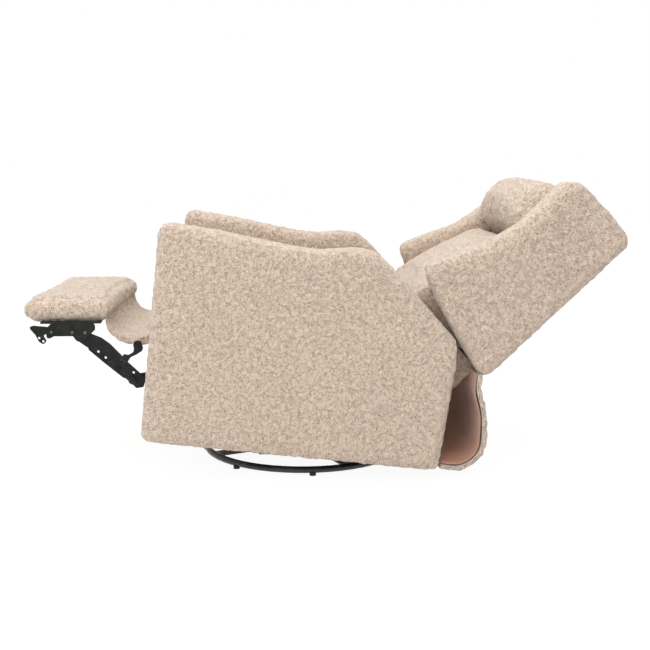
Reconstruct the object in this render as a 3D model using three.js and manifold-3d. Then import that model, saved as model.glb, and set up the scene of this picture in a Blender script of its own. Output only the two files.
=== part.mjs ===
// Swivel glider recliner, shown fully reclined with its footrest out.
// Millimetres, +Z up. The chair faces -Y, and the sitter's left is +X.
import * as THREE from "three";
import { mergeVertices } from "three/addons/utils/BufferGeometryUtils.js";
import Module from "manifold-3d";

const wasm = await Module();
wasm.setup();

// Driving sizes of the whole chair
const chairWidth = 780;
const armThickness = 110;
const armHeight = 577;
const armLength = 800;
const armBottom = 70;
const armFront = -446;
const bodyTilt = 6.5; // degrees that the body leans back at the rear end of its glide
const fitGap = 0.3;
const overrun = 2;

// Soft pieces
const softGap = 0.3;
const armRound = 20;
const boardFit = 1.2; // round each arm's board
const edgeRound = 14;

// Sheet steel and fasteners
const plate = 5;
const rivetRadius = 5;
const rivetHeadRadius = 9;
const rivetHeadHeight = 3;
const linkRadius = 14;
const openPivotGap = 2.2; // where a closed linkage is left open

// Base ring
const ringRadius = 290;
const ringTube = 19;
const ringArmAngle = 26; // degrees from -Y to the first flat arm
const ringArmCount = 4;
const ringArmWidth = 40;
const hubRadius = 105;
const footCount = 8;
const footRadius = 9;
const footHeight = 6;

// Swivel
const raceInner = 42;
const raceOuter = 96;
const raceHeight = 12;
const raceLip = 6;
const raceSteps = 36;
const kingPinRadius = 9;
const kingHeadRadius = 17;
const kingHeadHeight = 7;
const turntableLength = 260;

// Glide linkage
const glidePivotHeight = 255;
const glidePivotHalf = 125; // from the swivel axis to each upper pivot
const glideLink = 118.4;
const glideAngle = 36; // degrees of the front links from straight down
const glideSpan = 194; // between the lower pivots
const glideEar = 18;
const railInset = 50; // from the arms' inner faces to the glide rails
const railFlange = 28;
const railWaist = 62;

// Seat box, in the leaning frame of the body
const railHeight = 66;
const railThickness = 27;
const railBottom = 312;
const seatBoxFront = -385;
const seatBoxInset = 132; // in front of the arms' rear end
const rearRailHeight = 60;
const rearRailInset = 9; // in front of the arms' rear end
const springCount = 5;
const springWire = 4;
const springPitch = 30;
const springSwing = 26;
const springSpacingShare = 0.39; // of half the width between the side plates
const springFadeShare = 1 / 8; // of a spring's length, over which each end straightens
const springTieShares = [1 / 3, 2 / 3]; // of the springs' length
const sidePlateLapShare = 0.9; // of the rails' height that the side plates cover

// Seat cushion
const cushionTop = 474;
const cushionFront = -442;
const cushionInset = 118; // in front of the arms' rear end
const cushionCrown = 14;
const cushionNotch = 20;
const cushionNotchReach = 98; // in front of the back's pivot
const cushionDraw = 5; // that a soft side pulls in between its corners

// Back, measured up from its rear lower corner and forward from its rear face
const backCornerReach = 81; // behind the arms' rear end
const backCornerZ = 327;
const backAngle = 50.13; // degrees of its rear face above level, in the body's frame
const backHeight = 525;
const wingDepth = 318;
const wingThickness = 90;
const wingInset = 18;
const wingRoundShare = 0.9;
const backSkin = 26;
const postWidth = 36;
const postThickness = 27;
const backRailHeight = 60;
const backPivotInset = 126; // in front of the arms' rear end
const backPivotZ = 425;

// Shares of the back's height, measured up it
const outerBackTopShare = 0.962; // underside of its top edge
const postLowShare = -0.14;
const backCushionLowShare = 0.057;
const backCushionHangShare = 0.076; // that the front of its low end hangs lower
const backCushionHighShare = 0.62;
const headrestHighShare = 0.957;

// Shares of the wings' depth, measured forward from the back's rear face
const outerBackDepthShare = 0.58;
const backCushionFaceShare = 0.64;
const backCushionCrownShare = 0.1;
const backCushionLeanShare = 0.29;
const headrestFaceShare = 0.82;
const headrestCrownShare = 0.12;

// Footrest, level with the floor
const footrestTop = 482;
const footrestThick = 60;
const footrestFront = -750;
const footrestRear = -518;
const footrestInset = 12; // on each side, from the arms' inner faces
const footrestCrown = 7;
const padFrontReach = 5.5; // of the pad past the footrest's length
const padRearReach = 3;
const boardThickness = 12;
const boardInset = 18;
const footrestPivotZ = 430;
const angleDepth = 44;
const angleFlange = 26;

// Leg linkage, in the body's frame
const legUpperY = -640;
const legUpperZ = 310;
const legKneeY = -491;
const legKneeZ = 207;
const legLowerY = -311;
const legLowerZ = 258;
const doublerThickness = 2.5;
const legHoleRadius = 3.5;
const legTubeRadius = 8;

// Rear skirt
const skirtThickness = 12;
const skirtBulge = 103; // behind the arms
const skirtSteps = 18;

// Release handle on the sitter's right arm
const handleY = -262;
const handleZ = 452;
const cupRadius = 52;
const cupDepth = 22;
const cupWall = 3;
const paddleLength = 74;
const paddleWidth = 17;
const paddleThickness = 8;
const paddleRound = 1.5;

// Places that follow the arms' rear end
const armRear = armFront + armLength;
const backCornerY = armRear + backCornerReach;
const rearRailFace = armRear - rearRailInset;
const cushionRear = armRear - cushionInset;
const backPivotY = armRear - backPivotInset;
const cushionNotchStart = backPivotY - cushionNotchReach;
const seatBoxRear = armRear - seatBoxInset;

// Places that follow the arms' inner faces
const armOuter = chairWidth / 2;
const armInner = armOuter - armThickness;
const footrestHalf = armInner - footrestInset;
const railInner = armInner - railInset;

// Layers across the chair, from each glide rail outwards
const railOuter = railInner + plate;
const linkLayer = railOuter + fitGap;
const sidePlateLayer = linkLayer + plate + rivetHeadHeight + 2 * fitGap;
const lowerLegLayer = sidePlateLayer + plate + fitGap;
const upperLegLayer = lowerLegLayer + plate + fitGap;
const bracketLayer = upperLegLayer + plate + fitGap;
const springSpacing = springSpacingShare * sidePlateLayer;

const radians = THREE.MathUtils.degToRad;
const tilt = radians(bodyTilt);
const sides = [
  { name: "left", sign: 1 },
  { name: "right", sign: -1 },
];

// Finishes

function finish(color, roughness, metalness = 0) {
  return () => new THREE.MeshStandardMaterial({ color, roughness, metalness });
}
const sherpa = finish(0xcdb6a0, 0.95);
const blackMetal = finish(0x17171a, 0.4, 0.6);
const steel = finish(0x8d9096, 0.4, 0.9);
const wood = finish(0xc39a6b, 0.7);
const rubber = finish(0x1b1b1b, 0.9);
const plastic = finish(0x232325, 0.5);

// Solids

function solid(geometry) {
  const bare = geometry.index ? geometry.toNonIndexed() : geometry.clone();
  bare.deleteAttribute("normal");
  bare.deleteAttribute("uv");
  const merged = mergeVertices(bare, fitGap / 100);
  return new wasm.Manifold(
    new wasm.Mesh({
      numProp: 3,
      vertProperties: merged.attributes.position.array,
      triVerts: new Uint32Array(merged.index.array),
    }),
  );
}

function geometryOf(body) {
  const mesh = body.getMesh();
  const geometry = new THREE.BufferGeometry();
  geometry.setAttribute("position", new THREE.BufferAttribute(mesh.vertProperties, 3));
  geometry.setIndex(new THREE.BufferAttribute(mesh.triVerts, 1));
  geometry.computeVertexNormals();
  return geometry;
}

function piece(parent, name, shape, material) {
  const geometry = shape.isBufferGeometry ? shape : geometryOf(shape);
  const mesh = new THREE.Mesh(geometry, material());
  mesh.name = name;
  parent.add(mesh);
  return mesh;
}

function joined(...bodies) {
  return bodies.reduce((sum, body) => sum.add(body));
}

// A block between two corners.
function block(low, high) {
  const size = high.map((value, axis) => value - low[axis]);
  const box = new THREE.BoxGeometry(...size);
  box.translate(...low.map((value, axis) => value + size[axis] / 2));
  return box;
}

// Turns an extrusion so that its outline lies in the Y-Z plane and its depth runs along X.
const sideways = new THREE.Matrix4().makeBasis(
  new THREE.Vector3(0, 1, 0),
  new THREE.Vector3(0, 0, 1),
  new THREE.Vector3(1, 0, 0),
);

function outline(points) {
  return new THREE.Shape(points.map(([y, z]) => new THREE.Vector2(y, z)));
}

// A side-view outline with its corners rounded, each by its own radius.
function roundedOutline(points, radius, steps = 3) {
  const line = [];
  points.forEach(([y, z, own], index) => {
    const before = points[(index + points.length - 1) % points.length];
    const after = points[(index + 1) % points.length];
    const here = new THREE.Vector2(y, z);
    const back = new THREE.Vector2(before[0], before[1]).sub(here);
    const ahead = new THREE.Vector2(after[0], after[1]).sub(here);
    const corner = back.angleTo(ahead);
    const wanted = (own ?? radius) / Math.tan(corner / 2);
    const reach = Math.min(wanted, back.length() / 2, ahead.length() / 2);
    const start = here.clone().add(back.setLength(reach));
    const end = here.clone().add(ahead.setLength(reach));
    const turn = new THREE.QuadraticBezierCurve(start, here, end);
    line.push(...(reach > fitGap ? turn.getPoints(steps) : [here]));
  });
  return new THREE.Shape(line.filter((p, i) => p.distanceTo(line.at(i - 1)) > fitGap));
}

// An extrusion of a side-view outline between two places along X.
function slab(shape, from, to, round = 0, roundSteps = 3) {
  const low = Math.min(from, to);
  const geometry = new THREE.ExtrudeGeometry(shape, {
    depth: Math.abs(to - from) - 2 * round,
    bevelEnabled: round > 0,
    bevelThickness: round,
    bevelSize: round,
    bevelOffset: -round,
    bevelSegments: roundSteps,
    curveSegments: 6,
  });
  geometry.applyMatrix4(sideways);
  geometry.translate(low + round, 0, 0);
  return geometry;
}

// An outline with small round holes, which run the other way round than it does.
function pierced(shape, spots) {
  const clockwise = THREE.ShapeUtils.isClockWise(shape.getPoints());
  for (const [y, z] of spots) {
    const hole = new THREE.Path();
    hole.absarc(y, z, legHoleRadius, 0, 2 * Math.PI, !clockwise);
    shape.holes.push(hole);
  }
  return shape;
}

// A rod along X between two places.
function rod(y, z, radius, from, to, sidesRound = 12) {
  const geometry = new THREE.CylinderGeometry(radius, radius, Math.abs(to - from), sidesRound);
  geometry.rotateZ(Math.PI / 2);
  geometry.translate((from + to) / 2, y, z);
  return geometry;
}

// An upright rod.
function post(x, y, radius, from, to, sidesRound = 24) {
  const geometry = new THREE.CylinderGeometry(radius, radius, to - from, sidesRound);
  geometry.rotateX(Math.PI / 2);
  geometry.translate(x, y, (from + to) / 2);
  return geometry;
}

// A flat link with round ends and a hole at each, in the layer that starts at inner.
function link(a, b, side, inner, gapB = fitGap, radius = linkRadius) {
  const along = Math.atan2(b[1] - a[1], b[0] - a[0]);
  const shape = new THREE.Shape();
  shape.absarc(a[0], a[1], radius, along + Math.PI / 2, along + (3 * Math.PI) / 2, false);
  shape.absarc(b[0], b[1], radius, along - Math.PI / 2, along + Math.PI / 2, false);
  shape.closePath();
  for (const [[y, z], gap] of [[a, fitGap], [b, gapB]]) {
    const hole = new THREE.Path();
    hole.absarc(y, z, rivetRadius + gap, 0, 2 * Math.PI, true);
    shape.holes.push(hole);
  }
  return slab(shape, side * inner, side * (inner + plate));
}

// A pin across the layers from one place to another, riveted over at its end if it has a head.
function pin(at, side, from, to, headed = false) {
  const shank = solid(rod(...at, rivetRadius, side * from, side * to));
  if (!headed) return shank;
  const tip = to + Math.sign(to - from) * rivetHeadHeight;
  return shank.add(solid(rod(...at, rivetHeadRadius, side * to, side * tip)));
}

// A soft box: its faces crown, its edges round, and its sides draw in between the corners.
function pillow({ centre, half, crown, draw, round, cuts, lean = 0, hang = 0 }) {
  const geometry = new THREE.BoxGeometry(2, 2, 2, ...cuts);
  const place = geometry.attributes.position;
  const v = new THREE.Vector3();
  const sizes = new THREE.Vector3(...half);
  for (let i = 0; i < place.count; i += 1) {
    v.fromBufferAttribute(place, i);
    const [a, b, c] = v.toArray().map((value) => Math.sin((value * Math.PI) / 2));
    const core = new THREE.Vector3(a, b, c).multiply(sizes);
    const inner = core.clone();
    inner.x = THREE.MathUtils.clamp(core.x, round - sizes.x, sizes.x - round);
    inner.y = THREE.MathUtils.clamp(core.y, round - sizes.y, sizes.y - round);
    inner.z = THREE.MathUtils.clamp(core.z, round - sizes.z, sizes.z - round);
    const out = core.sub(inner);
    if (out.lengthSq() > 0) out.setLength(round);
    const p = inner.add(out);
    p.z += Math.sign(c) * (crown[c > 0 ? 1 : 0] * (1 - a * a) * (1 - b * b)) * Math.abs(c);
    if (c > 0) p.z += (lean * c * (1 - b)) / 2;
    p.y -= (hang * (1 - b) * (1 + c)) / 4;
    p.x -= Math.sign(a) * draw * (1 - b * b) * Math.abs(a);
    p.y -= Math.sign(b) * draw * (1 - a * a) * Math.abs(b);
    place.setXYZ(i, p.x + centre[0], p.y + centre[1], p.z + centre[2]);
  }
  return geometry;
}

// The chair and its leaning body

const chair = new THREE.Group();
const body = new THREE.Group();
body.rotation.x = -tilt;
chair.add(body);

// A point of the body's leaning frame in the level frame, and back.
function level([y, z]) {
  return [y * Math.cos(tilt) + z * Math.sin(tilt), z * Math.cos(tilt) - y * Math.sin(tilt)];
}
function leaning([y, z]) {
  return [y * Math.cos(tilt) - z * Math.sin(tilt), z * Math.cos(tilt) + y * Math.sin(tilt)];
}

// Base: two half rings of tube, a flat cross with its hub plate, and rubber feet

class RingCurve extends THREE.Curve {
  constructor(start, sweep, height) {
    super();
    Object.assign(this, { start, sweep, height });
  }
  getPoint(t, target = new THREE.Vector3()) {
    const angle = this.start + this.sweep * t;
    return target.set(ringRadius * Math.cos(angle), ringRadius * Math.sin(angle), this.height);
  }
}

const ringHeight = footHeight + ringTube / 2;
const firstArm = radians(ringArmAngle) - Math.PI / 2;

function makeBase() {
  const tubeSection = new THREE.Shape();
  tubeSection.absarc(0, 0, ringTube / 2, 0, 2 * Math.PI, false);
  const seam = fitGap / ringRadius;
  ["front", "rear"].forEach((name, index) => {
    const start = firstArm + (index - 1) * Math.PI + seam;
    const half = new THREE.ExtrudeGeometry(tubeSection, {
      steps: 28,
      curveSegments: 5,
      bevelEnabled: false,
      extrudePath: new RingCurve(start, Math.PI - 2 * seam, ringHeight),
    });
    piece(chair, `base_ring_${name}`, half, blackMetal);
  });

  const plateLow = ringHeight - plate / 2;
  const reach = ringRadius - ringTube / 2 - fitGap;
  let cross = solid(post(0, 0, hubRadius, plateLow, plateLow + plate, 48));
  for (let i = 0; i < ringArmCount / 2; i += 1) {
    const bar = block(
      [-ringRadius, -ringArmWidth / 2, plateLow],
      [ringRadius, ringArmWidth / 2, plateLow + plate],
    );
    bar.rotateZ(firstArm + (i * 2 * Math.PI) / ringArmCount);
    cross = cross.add(solid(bar));
  }
  const inside = solid(post(0, 0, reach, plateLow - overrun, plateLow + plate + overrun, 96));
  const bore = solid(
    post(0, 0, kingPinRadius + fitGap, plateLow - overrun, plateLow + plate + overrun),
  );
  piece(chair, "base_cross", cross.intersect(inside).subtract(bore), blackMetal);

  for (let i = 0; i < footCount; i += 1) {
    const angle = firstArm + ((i + 0.5) * 2 * Math.PI) / footCount;
    const x = ringRadius * Math.cos(angle);
    const y = ringRadius * Math.sin(angle);
    const saddleRadius = ringTube / 2 + 2 * fitGap;
    const saddle = new THREE.CylinderGeometry(saddleRadius, saddleRadius, 4 * footRadius, 24);
    saddle.rotateZ(angle);
    saddle.translate(x, y, ringHeight);
    const pad = solid(post(x, y, footRadius, 0, footHeight + ringTube / 4, 20));
    piece(chair, `foot_${i + 1}`, pad.subtract(solid(saddle)), rubber);
  }
}

// Swivel: two races round a king pin, and the turntable plate

const raceBottom = ringHeight + plate / 2 + fitGap;
const raceSplit = raceBottom + raceHeight;
const turntableBottom = raceSplit + fitGap + raceHeight;
const turntableTop = turntableBottom + plate;

// A closed profile of [radius, height] points, turned about the Z axis.
function turned(points, steps) {
  const loop = [...points, points[0]].map(([r, z]) => new THREE.Vector2(r, z));
  const geometry = new THREE.LatheGeometry(loop, steps);
  geometry.rotateX(Math.PI / 2);
  return geometry;
}

function makeSwivel() {
  const mirror = 2 * raceSplit + fitGap;
  const lower = [
    [raceInner, raceBottom],
    [raceOuter, raceBottom],
    [raceOuter, raceSplit - raceLip],
    [raceOuter - raceLip, raceSplit],
    [raceInner, raceSplit],
  ];
  const upper = lower.map(([r, z]) => [r, mirror - z]).reverse();
  piece(chair, "swivel_lower_race", turned(lower, raceSteps), steel);

  const headBottom = turntableTop + fitGap;
  const headTop = headBottom + kingHeadHeight;
  piece(chair, "king_pin", joined(
    solid(post(0, 0, kingPinRadius, ringHeight - plate / 2, headTop)),
    solid(post(0, 0, kingHeadRadius, headBottom, headTop)),
  ), steel);

  const table = solid(block(
    [-railInner, -turntableLength / 2, turntableBottom],
    [railInner, turntableLength / 2, turntableTop],
  ));
  const bore = solid(post(
    0, 0, kingPinRadius + fitGap, turntableBottom - overrun, turntableTop + overrun));
  const race = solid(turned(upper, raceSteps));
  piece(chair, "turntable", joined(table.subtract(bore), race), blackMetal);
}

// Glide linkage: two rails on the turntable carry four links that hang down to the body

const frontTop = [-glidePivotHalf, glidePivotHeight];
const rearTop = [glidePivotHalf, glidePivotHeight];
const glideLean = radians(glideAngle);
const frontLow = [
  frontTop[0] + glideLink * Math.sin(glideLean),
  frontTop[1] - glideLink * Math.cos(glideLean),
];
const rearLow = [
  frontLow[0] + glideSpan * Math.cos(tilt),
  frontLow[1] - glideSpan * Math.sin(tilt),
];

function makeGlide() {
  const low = turntableTop + fitGap;
  const railEnd = glidePivotHalf + glideEar;
  const earTop = glidePivotHeight + glideEar;
  const waist = low + railWaist;
  const railPoints = [
    [-railEnd, low, 0],
    [railEnd, low, 0],
    [railEnd, earTop],
    [glidePivotHalf - glideEar, earTop],
    [glidePivotHalf - 2 * glideEar, waist],
    [2 * glideEar - glidePivotHalf, waist],
    [glideEar - glidePivotHalf, earTop],
    [-railEnd, earTop],
  ];
  for (const { name, sign } of sides) {
    const flangeX = [sign * (railOuter - railFlange), sign * railOuter].sort((a, b) => a - b);
    const foot = block(
      [flangeX[0], -turntableLength / 2, low],
      [flangeX[1], turntableLength / 2, low + plate],
    );
    const rail = joined(
      solid(slab(roundedOutline(railPoints, glideEar), sign * railInner, sign * railOuter)),
      solid(foot),
      pin(frontTop, sign, railOuter - plate / 2, linkLayer + plate + fitGap, true),
      pin(rearTop, sign, railOuter - plate / 2, linkLayer + plate + fitGap, true),
    );
    piece(chair, `glide_rail_${name}`, rail, blackMetal);
    piece(chair, `glide_link_front_${name}`, link(frontTop, frontLow, sign, linkLayer), blackMetal);
    const rearLink = link(rearTop, rearLow, sign, linkLayer, openPivotGap);
    piece(chair, `glide_link_rear_${name}`, rearLink, blackMetal);
  }
}

// Seat box: wooden rails between the arms, springs, and the steel side plates below them

const railTop = railBottom + railHeight;
const cushionBottom = railTop + springWire + 2 * fitGap;
const legLower = [legLowerY, legLowerZ];
const legKnee = [legKneeY, legKneeZ];
const legUpper = [legUpperY, legUpperZ];
const backPivot = [backPivotY, backPivotZ];
const sideRailInner = sidePlateLayer + plate + fitGap;
const pivotPlateLayer = armInner - fitGap - plate;
const sideRailOuter = pivotPlateLayer - fitGap;
const backBracketLayer = pivotPlateLayer - fitGap - plate;
const postInner = backBracketLayer - fitGap - postWidth;

function makeSeatBox() {
  const lowFront = leaning(frontLow);
  const lowRear = leaning(rearLow);
  const plateTop = railBottom + sidePlateLapShare * railHeight;
  const platePoints = [
    [seatBoxFront, plateTop],
    [seatBoxFront, railBottom],
    [legLower[0] - linkRadius, legLower[1] + linkRadius],
    [legLower[0] - linkRadius, legLower[1] - linkRadius],
    [legLower[0] + linkRadius, legLower[1] - linkRadius],
    [lowFront[0] - linkRadius, lowFront[1] + 2 * linkRadius],
    [lowFront[0] - linkRadius, lowFront[1] - linkRadius],
    [lowRear[0] + linkRadius, lowRear[1] - linkRadius],
    [lowRear[0] + linkRadius, lowRear[1] + 2 * linkRadius],
    [seatBoxRear, railBottom],
    [seatBoxRear, plateTop],
  ];
  const pivotPoints = [
    [backPivot[0] - glideEar, backPivot[1] + glideEar],
    [backPivot[0] - 2 * glideEar, railBottom + 2 * plate],
    [backPivot[0] + 2 * glideEar, railBottom + 2 * plate],
    [backPivot[0] + glideEar, backPivot[1] + glideEar],
  ];
  for (const { name, sign } of sides) {
    const sidePlate = joined(
      solid(slab(
        roundedOutline(platePoints, linkRadius), sign * sidePlateLayer,
        sign * (sidePlateLayer + plate))),
      pin(lowFront, sign, sidePlateLayer + plate / 2, linkLayer),
      pin(lowRear, sign, sidePlateLayer + plate / 2, linkLayer),
      pin(legLower, sign, sidePlateLayer + plate / 2, lowerLegLayer + plate),
    );
    piece(body, `side_plate_${name}`, sidePlate, blackMetal);
    const sideX = [sign * (sideRailInner), sign * sideRailOuter].sort((a, b) => a - b);
    piece(body, `seat_rail_${name}`, block(
      [sideX[0], seatBoxFront, railBottom],
      [sideX[1], seatBoxRear, railTop],
    ), wood);
    piece(body, `back_pivot_plate_${name}`, joined(
      solid(slab(
        roundedOutline(pivotPoints, glideEar), sign * pivotPlateLayer,
        sign * (pivotPlateLayer + plate))),
      pin(backPivot, sign, pivotPlateLayer + plate / 2, backBracketLayer - fitGap, true),
    ), blackMetal);
  }
  const half = sidePlateLayer - fitGap;
  piece(body, "seat_rail_front", block(
    [-half, seatBoxFront, railBottom],
    [half, seatBoxFront + railThickness, railTop],
  ), wood);
  piece(body, "seat_rail_rear", block(
    [-half, seatBoxRear - railThickness, railBottom],
    [half, seatBoxRear, railTop],
  ), wood);
  piece(body, "rear_stretcher", block(
    [softGap - armInner, rearRailFace - railThickness, armBottom],
    [armInner - softGap, rearRailFace, armBottom + rearRailHeight],
  ), wood);
}

// Zigzag springs: straight runs across, joined by half turns, laid from front to rear.
class ZigzagCurve extends THREE.Curve {
  constructor(x, y, z, length) {
    super();
    Object.assign(this, { x, y, z, length });
    this.waves = Math.round(length / (2 * springPitch));
  }
  getPoint(t, target = new THREE.Vector3()) {
    const fade = Math.min(1, Math.min(t, 1 - t) / springFadeShare);
    const across = springSwing * fade * Math.sin(2 * Math.PI * this.waves * t);
    return target.set(this.x + across, this.y + this.length * t, this.z);
  }
}

function makeSprings() {
  const section = new THREE.Shape();
  section.absarc(0, 0, springWire / 2, 0, 2 * Math.PI, false);
  const from = seatBoxFront + railThickness / 2;
  const length = seatBoxRear - railThickness / 2 - from;
  const height = railTop + fitGap + springWire / 2;
  const wires = [];
  for (let i = 0; i < springCount; i += 1) {
    const x = (i - (springCount - 1) / 2) * springSpacing;
    const path = new ZigzagCurve(x, from, height, length);
    wires.push(solid(new THREE.ExtrudeGeometry(section, {
      steps: 4 * path.waves,
      curveSegments: 2,
      bevelEnabled: false,
      extrudePath: path,
    })));
  }
  const reach = ((springCount - 1) / 2) * springSpacing;
  for (const share of springTieShares) {
    wires.push(solid(rod(from + share * length, height, springWire / 2, -reach, reach, 6)));
  }
  piece(body, "seat_springs", joined(...wires), steel);
}

// Arms: padded side panels from the floor gap to the arm rest, each over a board

// The arm's side outline; heights are shares of the arm's height, and places of its length.
const armShares = [
  [0, 0, 1.4],
  [0, 1, 1.4],
  [0.19, 0.984, 2],
  [0.43, 0.95, 3],
  [0.52, 0.947, 3],
  [0.62, 0.973, 3],
  [0.69, 0.972, 2],
  [0.745, 0.92, 2],
  [0.995, 0.607, 2],
  [1, 0.5, 2],
  [0.985, 0, 1.4],
];

function armOutline(inset = 0) {
  return roundedOutline(
    armShares.map(([along, up, round]) => [
      armFront + inset + along * (armLength - 2 * inset),
      armBottom + up * (armHeight - inset),
      round * armRound,
    ]),
    armRound,
  );
}

function makeArms() {
  const boardFrom = armInner + armThickness / 2 - railThickness / 2;
  const boardTo = boardFrom + railThickness;
  const boardInsetSide = 2 * armRound;
  for (const { name, sign } of sides) {
    let pad = solid(slab(armOutline(), sign * armInner, sign * armOuter, armRound));
    const board = slab(armOutline(boardInsetSide), sign * boardFrom, sign * boardTo);
    const slotShape = armOutline(boardInsetSide - boardFit);
    const slot = slab(slotShape, sign * (boardFrom - fitGap), sign * (boardTo + fitGap));
    slot.translate(0, 0, -fitGap);
    pad = pad.subtract(solid(slot));
    if (name === "right") {
      const cupHole = solid(rod(
        handleY, handleZ, cupRadius + fitGap, -armOuter - overrun,
        -armOuter + cupDepth + cupWall + fitGap, 32));
      pad = pad.subtract(cupHole);
    }
    piece(body, `arm_${name}`, pad, sherpa);
    piece(body, `arm_board_${name}`, board, wood);
  }
}

// Release handle: a paddle that turns in a round cup

function makeRelease() {
  const floor = -armOuter + cupDepth;
  const cup = solid(rod(handleY, handleZ, cupRadius, -armOuter, floor + cupWall, 32));
  const hollow = solid(rod(
    handleY, handleZ, cupRadius - cupWall, -armOuter - overrun, floor, 32));
  const spindle = solid(rod(handleY, handleZ, rivetRadius, floor - plate, floor + fitGap));
  piece(body, "handle_cup", cup.subtract(hollow).add(spindle), plastic);

  const half = paddleLength / 2;
  const paddlePoints = [
    [handleY - half, handleZ - paddleWidth / 2],
    [handleY + half, handleZ - paddleWidth / 2],
    [handleY + half, handleZ + paddleWidth / 2],
    [handleY - half, handleZ + paddleWidth / 2],
  ];
  const paddleFace = -armOuter + plate / 2;
  const paddle = solid(slab(
    roundedOutline(paddlePoints, paddleWidth / 2), paddleFace,
    paddleFace + paddleThickness, paddleRound));
  const collarEnd = floor - fitGap;
  const collar = solid(rod(
    handleY, handleZ, 2 * rivetRadius, paddleFace + paddleThickness / 2, collarEnd));
  const socket = solid(rod(
    handleY, handleZ, rivetRadius + fitGap, floor - plate - fitGap, floor));
  piece(body, "release_paddle", paddle.add(collar).subtract(socket), blackMetal);
}

// Seat cushion, bridging pad and rear skirt

function makeSeatSoft() {
  const half = armInner - softGap;
  const length = cushionRear - cushionFront;
  const height = cushionTop - cushionBottom;
  let cushion = solid(pillow({
    centre: [0, cushionFront + length / 2, cushionBottom + height / 2],
    half: [half, length / 2, height / 2],
    crown: [0, cushionCrown],
    draw: cushionDraw,
    round: 2 * edgeRound,
    cuts: [10, 12, 4],
  }));
  for (const { sign } of sides) {
    const notchX = [sign * (half - cushionNotch), sign * (half + overrun)].sort((a, b) => a - b);
    cushion = cushion.subtract(solid(block(
      [notchX[0], cushionNotchStart, cushionBottom - overrun],
      [notchX[1], cushionRear + overrun, cushionTop + cushionCrown + overrun],
    )));
  }
  // Under its front edge the cushion stops above the folded footrest.
  const relief = block(
    [-armInner, cushionFront - overrun, cushionBottom - overrun],
    [armInner, seatBoxFront, (cushionBottom + cushionTop) / 2],
  );
  piece(body, "seat_cushion", cushion.subtract(solid(relief)), sherpa);
}

// Bridging pad: it sags from the seat's front edge to the footrest's rear edge

// Its outline is in shares of the way from the footrest (0) to the seat (1), and of the
// footrest's thickness below the footrest's pivot.
const bridgeShares = [
  [0.03, 0.55, 0.3],
  [0.07, 1.3, 0.5],
  [0.16, 1.63, 0.6],
  [0.29, 1.78, 0.7],
  [0.42, 1.77, 0.7],
  [0.59, 1.6, 0.7],
  [0.79, 1.25, 0.7],
  [1, 0.7, 0.2],
  [1, 1.4, 0.3],
  [0.8, 1.85, 0.5],
  [0.59, 2.05, 0.5],
  [0.36, 2.1, 0.7],
  [0.2, 1.97, 0.7],
  [0.08, 1.68, 0.6],
  [0.02, 1.27, 0.3],
];

function makeBridge(footrestRearEdge) {
  const start = footrestRearEdge + softGap;
  const end = seatBoxFront - softGap;
  const points = bridgeShares.map(([along, down, round]) => [
    start + along * (end - start),
    footrestPivotZ - down * footrestThick,
    round * edgeRound,
  ]);
  const half = footrestHalf - edgeRound;
  const pad = slab(roundedOutline(points, edgeRound), -half, half);
  piece(body, "bridging_pad", pad, sherpa);
}

// Back: it turns on two pivots beside the seat cushion's rear end

const backLean = radians(backAngle);

// A point measured up the back's rear face and forward from it, in the body's frame.
function onBack(up, forward) {
  return [
    backCornerY + up * Math.cos(backLean) - forward * Math.sin(backLean),
    backCornerZ + up * Math.sin(backLean) + forward * Math.cos(backLean),
  ];
}
function backPoints(points) {
  return points.map(([up, forward, round]) => [...onBack(up, forward), round]);
}

// The wing's outline: up the back in shares of its height, forward in shares of its depth.
const wingShares = [
  [-0.01, 0.0, 1.35],
  [0.99, 0.0, 1.5],
  [1.0, 0.3, 2],
  [1.0, 0.62, 3],
  [0.955, 0.74, 3],
  [0.66, 0.735, 4],
  [0.5, 0.79, 4],
  [0.33, 0.92, 4],
  [0.165, 1.035, 1.6],
  [0.09, 0.7, 3],
  [0.04, 0.4, 3],
];

const wingOuter = armOuter - wingInset;
const wingInner = wingOuter - wingThickness;

function makeBack() {
  const wingShape = roundedOutline(
    backPoints(wingShares.map(([up, forward, round]) => [
      up * backHeight, forward * wingDepth, round * armRound])),
    armRound,
  );
  for (const { name, sign } of sides) {
    const wing = slab(wingShape, sign * wingInner, sign * wingOuter, armRound * wingRoundShare);
    piece(body, `wing_${name}`, wing, sherpa);
  }

  const skinEnd = outerBackTopShare * backHeight;
  const skinDepth = outerBackDepthShare * wingDepth;
  const outer = slab(roundedOutline(backPoints([
    [0, 0, edgeRound / 2],
    [backHeight, 0],
    [backHeight, skinDepth],
    [skinEnd, skinDepth, edgeRound / 2],
    [skinEnd, backSkin, 0],
    [0, backSkin, edgeRound / 2],
  ]), edgeRound), softGap - wingInner, wingInner - softGap);
  piece(body, "outer_back", outer, sherpa);

  const frameRear = backSkin + softGap;
  const frameFront = frameRear + postThickness;
  const postLow = postLowShare * backHeight;
  const postHigh = skinEnd - softGap;
  for (const { name, sign } of sides) {
    const upright = slab(outline(backPoints([
      [postLow, frameRear],
      [postHigh, frameRear],
      [postHigh, frameFront],
      [postLow, frameFront],
    ])), sign * postInner, sign * (postInner + postWidth));
    piece(body, `back_post_${name}`, upright, wood);
  }
  const railHalf = postInner - fitGap;
  for (const [name, low] of [["lower", postLow], ["upper", postHigh - backRailHeight]]) {
    const rail = slab(outline(backPoints([
      [low, frameRear],
      [low + backRailHeight, frameRear],
      [low + backRailHeight, frameFront],
      [low, frameFront],
    ])), -railHalf, railHalf);
    piece(body, `back_rail_${name}`, rail, wood);
  }
}

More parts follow.
